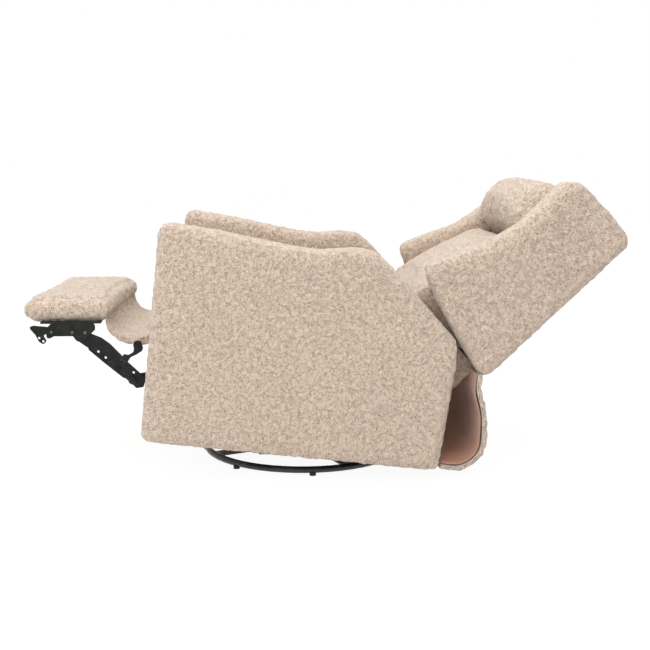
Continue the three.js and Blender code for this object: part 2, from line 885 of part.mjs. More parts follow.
// The lower back and its brackets, in shares of the back's height and the wings' depth.
const lowerBackShares = [
  [-0.04, 0.37],
  [-0.13, 0.24],
];
const lowerBackDepthShare = 0.52;
const bracketShares = [
  [-0.13, 0.107],
  [0.18, 0.107],
  [0.18, 0.167],
  [0.04, 0.167],
];

// Carries a piece made as across, up the back and forward from it onto the back.
function ontoBack(geometry) {
  geometry.rotateX(backLean);
  geometry.translate(0, backCornerY, backCornerZ);
  return geometry;
}

function makeBackSoft() {
  const face = backSkin + postThickness + 2 * softGap;
  const cushionLow = backCushionLowShare * backHeight;
  const cushionHigh = backCushionHighShare * backHeight;
  const cushionFace = backCushionFaceShare * wingDepth;
  const cushionHang = backCushionHangShare * backHeight;
  const half = armInner - softGap;
  piece(body, "back_cushion", ontoBack(pillow({
    centre: [0, (cushionLow + cushionHigh) / 2, (face + cushionFace) / 2],
    half: [half, (cushionHigh - cushionLow) / 2, (cushionFace - face) / 2],
    crown: [0, backCushionCrownShare * wingDepth],
    draw: cushionDraw,
    round: 2 * edgeRound,
    lean: backCushionLeanShare * wingDepth,
    hang: cushionHang,
    cuts: [12, 9, 4],
  })), sherpa);

  const headLow = cushionHigh + softGap;
  const headHigh = headrestHighShare * backHeight;
  const headFace = headrestFaceShare * wingDepth;
  piece(body, "headrest", ontoBack(pillow({
    centre: [0, (headLow + headHigh) / 2, (face + headFace) / 2],
    half: [half, (headHigh - headLow) / 2, (headFace - face) / 2],
    crown: [0, headrestCrownShare * wingDepth],
    draw: cushionDraw,
    round: 4 * edgeRound,
    cuts: [12, 8, 8],
  })), sherpa);

  const onWing = ([up, forward]) => [up * backHeight, forward * wingDepth];
  const lowerHalf = backBracketLayer - softGap;
  const lowerTop = cushionLow - softGap;
  const lowerFace = lowerBackDepthShare * wingDepth;
  const lowerDrop = (cushionHang * (lowerFace - face)) / (cushionFace - face);
  piece(body, "lower_back", slab(roundedOutline(backPoints([
    [postLowShare * backHeight, face],
    [lowerTop, face],
    [lowerTop - lowerDrop, lowerFace],
    ...lowerBackShares.map(onWing),
  ]), edgeRound / 2), -lowerHalf, lowerHalf), sherpa);

  const bracketPoints = [
    ...backPoints(bracketShares.map(onWing)),
    [backPivot[0], backPivot[1] + glideEar],
    [backPivot[0] - glideEar, backPivot[1]],
    [backPivot[0], backPivot[1] - glideEar],
  ];
  for (const { name, sign } of sides) {
    const bracket = solid(slab(
      roundedOutline(bracketPoints, glideEar / 2), sign * backBracketLayer,
      sign * (backBracketLayer + plate)));
    const hole = solid(rod(
      ...backPivot, rivetRadius + fitGap, sign * (backBracketLayer - overrun),
      sign * (backBracketLayer + plate + overrun)));
    piece(body, `back_bracket_${name}`, bracket.subtract(hole), blackMetal);
  }
}

// Rear skirt: a padded flap from the back's lower edge to the bottom of the arms

// Shares of the way down from the back's corner, and of its bulge behind the arms.
const skirtShares = [
  [0.15, 0.68],
  [0.35, 0.89],
  [0.6, 1],
  [0.745, 0.97],
  [0.87, 0.76],
  [0.94, 0.45],
  [0.945, 0.1],
];
const skirtTackShare = 0.94;

function makeSkirt() {
  const top = backCornerZ;
  const half = skirtThickness / 2;
  const seam = edgeRound / 2;
  const wingLow = wingShares[0][0] * backHeight - softGap;
  const below = (share) => top + share * (armBottom - top);
  const tack = new THREE.Vector2(rearRailFace + softGap, below(skirtTackShare));
  const centre = new THREE.SplineCurve([
    new THREE.Vector2(...onBack(wingLow, seam + half)),
    ...skirtShares.map(([down, out]) => new THREE.Vector2(
      armRear + out * skirtBulge - half, below(down))),
    tack,
  ]);
  const outer = [onBack(wingLow, seam)];
  const inner = [onBack(wingLow, seam + skirtThickness)];
  for (let i = 1; i < skirtSteps; i += 1) {
    const at = centre.getPointAt(i / skirtSteps);
    const along = centre.getTangentAt(i / skirtSteps);
    outer.push([at.x - along.y * half, at.y + along.x * half]);
    inner.unshift([at.x + along.y * half, at.y - along.x * half]);
  }
  outer.push([tack.x, tack.y - half]);
  inner.unshift([tack.x, tack.y + half]);
  piece(body, "rear_skirt", slab(outline([...outer, ...inner]), -wingOuter, wingOuter), sherpa);
}

// Footrest: a padded board on two steel angles, level with the floor

const footrestBottom = footrestTop - footrestThick;
const angleTop = footrestBottom - fitGap;
// Shares of the footrest's length, of the angle's depth and of a link's radius.
const webShares = [
  [0.336, 0, 0],
  [0.284, 0.29, 0.3],
  [0.284, 0.52, 0],
  [0.254, 0.52, 0.2],
  [0.267, 0.97, 0.2],
  [0.297, 1.02, 0],
  [0.349, 0.88, 0],
  [0.565, 0.88, 0],
  [0.6, 1.15, 0.8],
  [0.643, 1.26, 0.8],
  [0.7, 1.15, 0.8],
  [0.776, 0.72, 0],
  [0.819, 0.5, 0.3],
  [0.819, 0.24, 0.3],
  [0.793, 0, 0],
];
const flangeShares = [0.2, 0.885];
const toeShares = [
  [0.069, 0.31, 0.3],
  [0.112, 0.24, 0],
  [0.366, 0.38, 0],
  [0.366, 0.7, 0],
  [0.246, 0.77, 0],
  [0.224, 0.88, 0],
  [0.256, 1.2, 0.3],
  [0.22, 1.4, 0.4],
  [0.168, 1.2, 0],
  [0.134, 0.81, 0],
  [0.078, 0.46, 0],
];
const toeHoleShares = [[0.174, 1.0], [0.219, 1.2]];

function makeFootrest() {
  const length = footrestRear - footrestFront;
  const padFront = footrestFront - padFrontReach;
  const padRear = footrestRear + padRearReach;
  const boardHalf = footrestHalf - boardInset;
  const boardLow = [-boardHalf, footrestFront + boardInset, footrestBottom];
  const boardHigh = [boardHalf, footrestRear - boardInset, footrestBottom + boardThickness];
  const pad = solid(pillow({
    centre: [0, (padFront + padRear) / 2, footrestTop - footrestThick / 2],
    half: [footrestHalf, (padRear - padFront) / 2, footrestThick / 2],
    crown: [0, footrestCrown],
    draw: cushionDraw,
    round: 2 * edgeRound,
    cuts: [12, 8, 6],
  }));
  const pocket = block(
    boardLow.map((value, axis) => value - (axis === 2 ? overrun : fitGap)),
    boardHigh.map((value) => value + fitGap),
  );
  piece(chair, "footrest_pad", pad.subtract(solid(pocket)), sherpa);
  piece(chair, "footrest_board", block(boardLow, boardHigh), wood);

  const scale = ([along, down, round = 0]) => [
    footrestFront + along * length, angleTop - down * angleDepth, round * linkRadius];
  const upper = level(legUpper);
  for (const { name, sign } of sides) {
    const flangeX = [
      sign * (bracketLayer + plate - angleFlange), sign * (bracketLayer + plate),
    ].sort((a, b) => a - b);
    const flange = block(
      [flangeX[0], footrestFront + flangeShares[0] * length, angleTop - plate],
      [flangeX[1], footrestFront + flangeShares[1] * length, angleTop],
    );
    const toe = pierced(roundedOutline(toeShares.map(scale), linkRadius), toeHoleShares.map(scale));
    const angle = joined(
      solid(slab(
        roundedOutline(webShares.map(scale), linkRadius), sign * bracketLayer,
        sign * (bracketLayer + plate))),
      solid(flange),
      solid(slab(toe, sign * (bracketLayer - plate), sign * (bracketLayer + fitGap))),
      pin(upper, sign, bracketLayer + plate / 2, upperLegLayer),
    );
    piece(chair, `footrest_angle_${name}`, angle, blackMetal);
  }
}

// Leg linkage: on each side a lower and an upper link, left open at the knee between them

// Shares of the way from the upper pivot to the knee, and of a link's radius above that line.
const upperLegShares = [
  [0.02, -0.9, 0.6],
  [0.197, -0.7, 0],
  [0.217, -0.92, 0],
  [0.534, -0.95, 0],
  [0.87, -0.85, 0],
  [0.9, -0.66, 0],
  [1.05, -0.7, 0],
  [1.116, -0.82, 0.3],
  [1.187, 0.28, 0.4],
  [1.13, 1.85, 0.6],
  [0.783, 2.05, 0],
  [0.643, 2.28, 0],
  [0.398, 2.6, 0.8],
  [0.245, 2.45, 0],
  [0.02, 1.5, 0.9],
  [-0.075, 0.5, 0.8],
  [-0.07, -0.4, 0.7],
];
const doublerShares = [
  [0.534, -0.9],
  [0.532, -0.28],
  [0.594, 0.19],
  [0.743, 0.3],
  [0.907, 0.12],
  [1.147, -0.09],
  [1.11, -0.74],
  [1.05, -0.64],
  [0.9, -0.6],
  [0.87, -0.79],
];
const crankShares = [
  [0.66, 0.9, 0.5],
  [0.649, 2.87, 0.3],
  [0.705, 3.26, 0],
  [0.736, 4.32, 0.4],
  [0.706, 5.01, 0],
  [0.667, 5.36, 0.3],
  [0.648, 5.96, 0.3],
  [0.675, 6.73, 0.4],
  [0.724, 6.81, 0],
  [0.805, 6.16, 0.3],
  [0.822, 5.61, 0.3],
  [0.791, 4.29, 0],
  [0.757, 3.29, 0],
  [0.762, 2.49, 0.3],
  [0.79, 0.9, 0.5],
];
const legHoleShares = [[0.342, 0], [0.48, 0], [0.934, 1.23]];
const crankPinShares = [[0.715, 1.4]];
const legTubeShare = 0.5; // of the way from the lower pivot to the knee

// Points along a link from a to b: shares of its length, and of a link's radius to its left.
function alongLink(a, b, shares) {
  const way = new THREE.Vector2(b[0] - a[0], b[1] - a[1]);
  const length = way.length();
  way.normalize();
  return shares.map(([share, out, round = 0]) => [
    a[0] + share * length * way.x - out * linkRadius * way.y,
    a[1] + share * length * way.y + out * linkRadius * way.x,
    round * linkRadius,
  ]);
}

function makeLegs() {
  const onLeg = (shares) => alongLink(legUpper, legKnee, shares);
  const [[crankY, crankZ]] = onLeg(crankPinShares);
  const face = upperLegLayer + plate;
  const shape = pierced(roundedOutline(onLeg(upperLegShares), linkRadius), onLeg(legHoleShares));
  const pivotHole = new THREE.Path();
  pivotHole.absarc(...legUpper, rivetRadius + fitGap, 0, 2 * Math.PI, true);
  shape.holes.push(pivotHole);
  for (const { name, sign } of sides) {
    piece(body, `leg_lower_${name}`, link(legLower, legKnee, sign, lowerLegLayer), blackMetal);
    const strap = solid(slab(shape, sign * upperLegLayer, sign * face));
    const doubler = solid(slab(
      roundedOutline(onLeg(doublerShares), linkRadius), sign * (face - fitGap),
      sign * (face + doublerThickness)));
    const kneeHead = solid(rod(
      ...legKnee, rivetHeadRadius, sign * (face - fitGap),
      sign * (face + doublerThickness + rivetHeadHeight)));
    const crank = solid(slab(
      roundedOutline(onLeg(crankShares), linkRadius), sign * bracketLayer,
      sign * (bracketLayer + plate)));
    const crankPin = solid(rod(
      crankY, crankZ, rivetHeadRadius, sign * (face - plate / 2),
      sign * (bracketLayer + plate + rivetHeadHeight)));
    piece(body, `leg_upper_${name}`, joined(strap, doubler, kneeHead, crank, crankPin), blackMetal);
  }
  const [tubeAt] = alongLink(legLower, legKnee, [[legTubeShare, 0]]);
  const half = lowerLegLayer - fitGap;
  piece(body, "leg_tube", rod(tubeAt[0], tubeAt[1], legTubeRadius, -half, half), blackMetal);
}

makeBase();
makeSwivel();
makeGlide();
makeSeatBox();
makeSprings();
makeArms();
makeRelease();
makeSeatSoft();
makeFootrest();
makeBridge(leaning([footrestRear + padRearReach, footrestTop])[0]);
makeLegs();
makeBack();
makeBackSoft();
makeSkirt();

// The origin lies on the floor, under the middle of the chair's whole length.
const extent = new THREE.Box3().setFromObject(chair, true);
chair.position.y = -(extent.min.y + extent.max.y) / 2;

export default chair;
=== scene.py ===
"""Covers, finishes, stage and camera of a swivel glider recliner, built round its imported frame."""

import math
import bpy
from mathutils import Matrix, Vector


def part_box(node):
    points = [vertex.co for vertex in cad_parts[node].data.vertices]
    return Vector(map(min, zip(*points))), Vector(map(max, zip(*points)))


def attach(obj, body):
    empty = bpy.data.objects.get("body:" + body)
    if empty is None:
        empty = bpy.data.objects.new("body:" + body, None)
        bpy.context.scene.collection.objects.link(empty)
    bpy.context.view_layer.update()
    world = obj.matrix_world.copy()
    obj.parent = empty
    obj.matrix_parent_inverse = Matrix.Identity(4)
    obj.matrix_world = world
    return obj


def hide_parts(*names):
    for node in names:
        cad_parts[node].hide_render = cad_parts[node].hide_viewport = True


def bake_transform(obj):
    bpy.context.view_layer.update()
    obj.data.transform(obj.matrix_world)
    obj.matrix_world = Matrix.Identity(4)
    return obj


bl_info = {
    "name": "Swivel Glider Recliner",
    "version": (1, 0, 0),
    "blender": (4, 5, 0),
    "location": "View3D > Sidebar > Recliner",
    "description": "Builds the padded covers, finishes and studio stage of a swivel glider recliner",
    "category": "Object",
}

from typing import NamedTuple

import bmesh
import bpy
import numpy as np
from mathutils import Quaternion, Vector

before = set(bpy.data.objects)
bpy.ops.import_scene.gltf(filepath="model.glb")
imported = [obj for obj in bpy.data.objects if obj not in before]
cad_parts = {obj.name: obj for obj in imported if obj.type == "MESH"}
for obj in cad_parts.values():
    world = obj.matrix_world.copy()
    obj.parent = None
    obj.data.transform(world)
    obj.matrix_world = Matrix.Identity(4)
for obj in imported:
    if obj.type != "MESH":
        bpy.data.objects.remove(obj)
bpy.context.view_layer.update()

WELD = 2e-5
SIDES = ("left", "right")
UP = (0.0, 0.0, 1.0)
ACROSS = (1.0, 0.0, 0.0)

# The chair's body leans back over the level base, and is moved along it to centre the whole part.
BODY_LEAN = math.radians(6.5)
BODY_SHIFT = -0.044776
LEAN_UP = (0.0, math.sin(BODY_LEAN), math.cos(BODY_LEAN))

# Lower rear corner of the back, as depth and height in the body's own upright frame, and the back's slope
BACK_CORNER = (0.435, 0.327)
BACK_ANGLE = math.radians(50.13)
BACK_TURN = BACK_ANGLE - BODY_LEAN
BACK_OUT = (0.0, -math.sin(BACK_TURN), math.cos(BACK_TURN))

# Cloth: a simulation's frames and pressure, how far a point may sink, and the kept share of its slide
FIRST_FRAME = 1
LAST_FRAME = 20
PRESSURE = 4.0
INWARD = 0.0006
SLIDE_SHARE = 0.3
LEAST_SLIDE = 1e-9

# Rounding of a pad before it is swollen
ROUND_FACTOR = 0.5
ROUND_PASSES = 3

# Pile: the number of plane waves in its lumps, the sharpness of the valleys between its curls, and seeds
WAVE_COUNT = 24
VALLEY_SHARPNESS = 2.2
SEED_STEP = 10
NOISE_MIDDLE = 0.5


class Pad(NamedTuple):
    """How a soft node becomes a pad: inset before swelling, rise of face and sides, fill, which is not used,
    and pile seed.
    """

    inset: float
    face: float
    side: float
    fill: float
    seed: int


ARM_PAD = Pad(inset=0.001, face=0.0015, side=0.001, fill=0.9, seed=100)
WING_PAD = Pad(inset=-0.001, face=0.003, side=0.002, fill=0.9, seed=200)
OUTER_BACK_PAD = Pad(inset=0.001, face=0.004, side=0.002, fill=0.9, seed=300)
SEAT_PAD = Pad(inset=0.006, face=0.014, side=0.003, fill=0.8, seed=400)
BACK_PAD = Pad(inset=0.006, face=0.005, side=0.003, fill=0.8, seed=500)
HEADREST_PAD = Pad(inset=0.006, face=0.010, side=0.003, fill=0.85, seed=600)
LOWER_BACK_PAD = Pad(inset=0.002, face=0.002, side=0.001, fill=0.9, seed=700)
FOOTREST_PAD = Pad(inset=0.003, face=0.007, side=0.009, fill=0.85, seed=800)
BRIDGING_PAD = Pad(inset=0.002, face=0.003, side=0.001, fill=0.6, seed=900)

# The bridging pad's mesh, and how far its front is drawn forward under the footrest
BRIDGE_VOXEL = 0.006
BRIDGE_STRETCH = 0.018

# Wrapped lower end of the back's frame: its section, as places up the back and forward of its rear face
BACK_END = ((-0.088, 0.016), (0.008, 0.016), (0.008, 0.132), (-0.036, 0.132), (-0.088, 0.062))
BACK_END_HALF_WIDTH = 0.2785
BACK_END_VOXEL = 0.006
BACK_END_PASSES = 8
BACK_END_TUFT_SHARE = 0.8
BACK_END_SEED = 1100

# Rivet heads on the outer faces of the footrest's angles, as depth and height in the level frame
RIVET_FACE = 0.2649
RIVET_RADIUS = 0.0045
RIVET_RISE = 0.0022
RIVETS = ((-0.72, 0.394), (-0.665, 0.393), (-0.631, 0.392))
RIVET_ROUND_STEPS = 16
RIVET_UP_STEPS = 5
RIVET_TINT = 6.0

# Rear skirt, in the body's own upright frame. It hangs from the seam, swings out behind the arms and is
# tacked behind the seat. Each pair of shares gives a point: how far down from the back's corner to the arms'
# bottom, and how far out of the bulge behind the arms' rear.
ARM_REAR = 0.354
ARM_BOTTOM = 0.070
SKIRT_SEAM = 0.016
SKIRT_BULGE = 0.103
SKIRT_THICKNESS = 0.012
SKIRT_HALF_WIDTH = 0.372
SKIRT_TACK_DEPTH = 0.3453
SKIRT_TACK_SHARE = 0.94
SKIRT_SHARES = (
    (0.12, 0.71), (0.35, 0.91), (0.6, 1.0), (0.745, 0.97), (0.87, 0.76), (0.94, 0.45), (0.945, 0.1),
)
SKIRT_STEPS_PER_POINT = 40
SKIRT_END_GAP = 1e-6
SKIRT_VOXEL = 0.005
SKIRT_TUFT_SHARE = 1.5
SKIRT_SEED = 1000

# Inner and outer face of each of the skirt's layers, as shares of half its thickness
SKIRT_PILE_SHARES = (-0.4, 1.1)
SKIRT_FELT_SHARES = (-0.7, -0.45)
SKIRT_LINING_SHARES = (-1.6, -1.4)
FELT_HEM = 0.001
LINING_HEM = 0.003
LINING_RIPPLE = 0.0018
RIPPLE_PITCH = 0.11
RIPPLE_SEED = 43

# Stage
FLOOR_REACH = 12.0
FLOOR_POINTS = 9
FLOOR_COLOUR = (0.86, 0.86, 0.86)
FLOOR_GLOW = 1.08
FLOOR_GLOW_SHARE = 0.87
LIGHT_TARGET = (0.0, 0.0, 0.4)
TOP_LIGHT_PLACE = (0.4, -0.3, 3.2)
TOP_LIGHT_SIZE = 3.4
SIDE_LIGHT_PLACE = (3.6, -1.2, 2.0)
SIDE_LIGHT_SIZE = 3.0
WHITE = (1.0, 1.0, 1.0, 1.0)
SENSOR_WIDTH = 36.0
CLIP_END = 60.0


class PileSizes(bpy.types.PropertyGroup):
    """Sizes of the pile fabric and of the meshes that carry it."""

    voxel: bpy.props.FloatProperty(
        name="Mesh size", description="Size of a pad's faces before its subdivision",
        default=0.008, min=0.004, unit="LENGTH")
    tuft_pitch: bpy.props.FloatProperty(
        name="Tuft pitch", description="Distance between the broad tufts of the pile",
        default=0.026, min=0.005, unit="LENGTH")
    tuft_height: bpy.props.FloatProperty(
        name="Tuft height", description="How far the broad tufts stand out",
        default=0.0006, min=0.0, unit="LENGTH")
    curl_pitch: bpy.props.FloatProperty(
        name="Curl pitch", description="Distance between the curls that roughen the outline",
        default=0.013, min=0.004, unit="LENGTH")
    curl_height: bpy.props.FloatProperty(
        name="Curl height", description="How far the curls stand out",
        default=0.0013, min=0.0, unit="LENGTH")


class FabricColours(bpy.types.PropertyGroup):
    """Colours of the fabrics."""

    # Painted highlight: the pale colour laid on the raised curl tips
    light: bpy.props.FloatVectorProperty(
        name="Curl tips", description="Colour of the pile's tips",
        default=(0.70, 0.585, 0.475), size=3, min=0.0, max=1.0, subtype="COLOR")
    middle: bpy.props.FloatVectorProperty(
        name="Pile", description="Main colour of the pile",
        default=(0.585, 0.465, 0.365), size=3, min=0.0, max=1.0, subtype="COLOR")
    # Painted shade: the dark colour laid into the crevices between the curls
    crevice_shade: bpy.props.FloatVectorProperty(
        name="Crevices", description="Colour between the curls",
        default=(0.27, 0.165, 0.11), size=3, min=0.0, max=1.0, subtype="COLOR")
    lining: bpy.props.FloatVectorProperty(
        name="Lining", description="Colour of the cloth inside the rear skirt",
        default=(0.50, 0.245, 0.15), size=3, min=0.0, max=1.0, subtype="COLOR")
    interlining: bpy.props.FloatVectorProperty(
        name="Interlining", description="Colour of the felt between the skirt's pile and its lining",
        default=(0.52, 0.475, 0.45), size=3, min=0.0, max=1.0, subtype="COLOR")


class FrameColours(bpy.types.PropertyGroup):
    """Colours of the metal, wood, rubber and plastic."""

    paint: bpy.props.FloatVectorProperty(
        name="Paint", description="Colour of the painted steel",
        default=(0.009, 0.009, 0.0085), size=3, min=0.0, max=1.0, subtype="COLOR")
    steel: bpy.props.FloatVectorProperty(
        name="Steel", description="Colour of the bare steel",
        default=(0.55, 0.55, 0.54), size=3, min=0.0, max=1.0, subtype="COLOR")
    wood: bpy.props.FloatVectorProperty(
        name="Wood", description="Colour of the frame's wood",
        default=(0.55, 0.36, 0.19), size=3, min=0.0, max=1.0, subtype="COLOR")
    rubber: bpy.props.FloatVectorProperty(
        name="Rubber", description="Colour of the feet",
        default=(0.02, 0.02, 0.02), size=3, min=0.0, max=1.0, subtype="COLOR")
    plastic: bpy.props.FloatVectorProperty(
        name="Plastic", description="Colour of the release handle",
        default=(0.028, 0.027, 0.026), size=3, min=0.0, max=1.0, subtype="COLOR")


class StageSizes(bpy.types.PropertyGroup):
    """Place of the camera and strength of the light."""

    eye: bpy.props.FloatVectorProperty(
        name="Eye", description="Place of the camera",
        default=(3.01075, -0.07558, 0.84377), size=3, subtype="XYZ", unit="LENGTH")
    pitch: bpy.props.FloatProperty(
        name="Pitch", description="How far the camera looks down", default=0.157146, unit="ROTATION")
    yaw: bpy.props.FloatProperty(
        name="Yaw", description="How far the camera looks towards the back", default=0.030434,
        unit="ROTATION")
    roll: bpy.props.FloatProperty(
        name="Roll", description="How far the camera is tipped sideways", default=0.0025, unit="ROTATION")
    focal: bpy.props.FloatProperty(
        name="Focal length", description="Focal length in millimetres on a 36 mm sensor", default=57.52)
    key_power: bpy.props.FloatProperty(
        name="Top light", description="Power of the soft light overhead in watts", default=98.0, min=0.0)
    fill_power: bpy.props.FloatProperty(
        name="Side light", description="Power of the soft light beside the camera in watts", default=52.0,
        min=0.0)
    sky: bpy.props.FloatProperty(
        name="Sky", description="Strength of the even light from all sides", default=0.68, min=0.0)


def pile():
    """The pile's sizes."""
    return bpy.context.scene.recliner_pile


def fabric():
    """The fabrics' colours."""
    return bpy.context.scene.recliner_fabric


def framing():
    """The frame's colours."""
    return bpy.context.scene.recliner_frame


# Meshes


def new_piece(name, mesh):
    """Links a mesh as an object at the origin and shades it smooth."""
    piece = bpy.data.objects.new(name, mesh)
    bpy.context.scene.collection.objects.link(piece)
    mesh.polygons.foreach_set("use_smooth", np.ones(len(mesh.polygons), bool))
    return piece


def surface(name, points, across, along):
    """Makes a mesh from a grid of points, rows by columns, closed in each direction that is asked for."""
    rows, columns = points.shape[:2]
    i, j = np.meshgrid(
        np.arange(rows if across else rows - 1),
        np.arange(columns if along else columns - 1), indexing="ij")
    i2, j2 = (i + 1) % rows, (j + 1) % columns
    faces = np.stack([i * columns + j, i2 * columns + j, i2 * columns + j2, i * columns + j2], axis=-1)
    mesh = bpy.data.meshes.new(name)
    mesh.from_pydata(points.reshape(-1, 3), [], faces.reshape(-1, 4).tolist())
    mesh.update()
    return new_piece(name, mesh)


def close(piece):
    """Fills a mesh's open ends and turns its faces outwards."""
    work = bmesh.new()
    work.from_mesh(piece.data)
    bmesh.ops.holes_fill(work, edges=[edge for edge in work.edges if edge.is_boundary])
    bmesh.ops.recalc_face_normals(work, faces=work.faces)
    work.to_mesh(piece.data)
    work.free()


def welded(name, nodes):
    """Copies the meshes of CAD nodes into one and joins its loose triangles."""
    mesh = bpy.data.meshes.new(name)
    work = bmesh.new()
    for node in nodes:
        work.from_mesh(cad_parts[node].data)
    bmesh.ops.remove_doubles(work, verts=work.verts, dist=WELD)
    work.to_mesh(mesh)
    work.free()
    return new_piece(name, mesh)


def points_of(piece):
    """A piece's vertices as rows of x, y and z."""
    mesh = piece.data
    at = np.empty(len(mesh.vertices) * 3)
    mesh.vertices.foreach_get("co", at)
    return at.reshape(-1, 3)


def put_points(piece, at):
    """Puts rows of x, y and z into a piece's vertices."""
    piece.data.vertices.foreach_set("co", at.reshape(-1))
    piece.data.update()


def normals_of(piece):
    """A piece's vertex normals as rows of x, y and z."""
    mesh = piece.data
    out = np.empty(len(mesh.vertices) * 3)
    mesh.vertex_normals.foreach_get("vector", out)
    return out.reshape(-1, 3)


def bake(piece):
    """Puts what the modifiers make into the mesh and takes them off."""
    graph = bpy.context.evaluated_depsgraph_get()
    mesh = bpy.data.meshes.new_from_object(piece.evaluated_get(graph), depsgraph=graph)
    old = piece.data
    piece.modifiers.clear()
    piece.data = mesh
    bpy.data.meshes.remove(old)
    mesh.polygons.foreach_set("use_smooth", np.ones(len(mesh.polygons), bool))


def evened(piece, voxel):
    """Remeshes a closed piece into faces of one size."""
    remesh = piece.modifiers.new("Even mesh", "REMESH")
    remesh.mode = "VOXEL"
    remesh.voxel_size = voxel
    bake(piece)


def rounded(piece, passes):
    """Smooths a piece's edges, a little in each pass."""
    soften = piece.modifiers.new("Round", "SMOOTH")
    soften.factor = ROUND_FACTOR
    soften.iterations = passes
    bake(piece)


def waves(at, pitch, seed):
    """Sums plane waves of one length in random directions: even lumps of mean 0 and spread 1."""
    draw = np.random.default_rng(seed)
    way = draw.normal(size=(WAVE_COUNT, 3))
    way /= np.linalg.norm(way, axis=1)[:, None]
    phase = draw.uniform(0, 2 * math.pi, WAVE_COUNT)
    return np.cos(at @ way.T * (2 * math.pi / pitch) + phase).sum(axis=1) * math.sqrt(2 / WAVE_COUNT)


def tufted(piece, seed, share=1.0):
    """Moves each vertex along its normal by broad tufts plus curls, which are folded waves.

    The folds are the sharp valleys between the curls.
    """
    at, out = points_of(piece), normals_of(piece)
    size = pile()
    tuft = waves(at, size.tuft_pitch, seed)
    curl = np.abs(waves(at, 2 * size.curl_pitch, seed + 1))
    curl = 1.0 - np.exp(-VALLEY_SHARPNESS * curl)
    height = size.tuft_height * tuft + size.curl_height * (2 * curl - 1)
    put_points(piece, at + out * (share * height)[:, None])


def blank(name, nodes, inset, voxel):
    """Remeshes a copy of some nodes evenly, moves it inwards by inset and rounds it a little."""
    piece = welded(name, nodes)
    evened(piece, voxel)
    put_points(piece, points_of(piece) - normals_of(piece) * inset)
    rounded(piece, ROUND_PASSES)
    return piece


def swell(pads, face, side, crown):
    """Blows closed pads up as cloth.

    A point rises by face at most where it looks along crown, and by side across it. It sinks by INWARD
    at most, and slides along the pad by a share of what the cloth slides.
    """
    scene = bpy.context.scene
    before = [(points_of(pad), normals_of(pad)) for pad in pads]
    for pad in pads:
        cloth = pad.modifiers.new("Swell", "CLOTH")
        cloth.settings.use_pressure = True
        cloth.settings.uniform_pressure_force = PRESSURE
        cloth.settings.effector_weights.gravity = 0.0
        cloth.point_cache.frame_start = FIRST_FRAME
        cloth.point_cache.frame_end = LAST_FRAME
    for number in range(FIRST_FRAME, LAST_FRAME + 1):
        scene.frame_set(number)
    for pad, (start, out) in zip(pads, before):
        bake(pad)
        step = points_of(pad) - start
        rise = (step * out).sum(axis=1)
        slide = SLIDE_SHARE * (step - out * rise[:, None])
        facing = np.abs(out @ np.array(crown)) ** 2
        cap = side + (face - side) * facing
        slide *= np.minimum(1.0, cap / np.maximum(np.linalg.norm(slide, axis=1), LEAST_SLIDE))[:, None]
        put_points(pad, start + out * np.clip(rise, -INWARD, cap)[:, None] + slide)
    scene.frame_set(FIRST_FRAME)


def subdivided(piece):
    """Adds one smooth subdivision to the mesh itself."""
    finer = piece.modifiers.new("Finer", "SUBSURF")
    finer.levels = 1
    finer.render_levels = 1
    bake(piece)


def leaned(depth, height):
    """Takes depth and height in the body's upright frame to the level frame."""
    cos, sin = math.cos(BODY_LEAN), math.sin(BODY_LEAN)
    return depth * cos + height * sin + BODY_SHIFT, height * cos - depth * sin


def on_back(up, forward):
    """Takes a place up the back and forward of its rear face to the body's upright depth and height."""
    cos, sin = math.cos(BACK_ANGLE), math.sin(BACK_ANGLE)
    return BACK_CORNER[0] + up * cos - forward * sin, BACK_CORNER[1] + up * sin + forward * cos


# Finishes


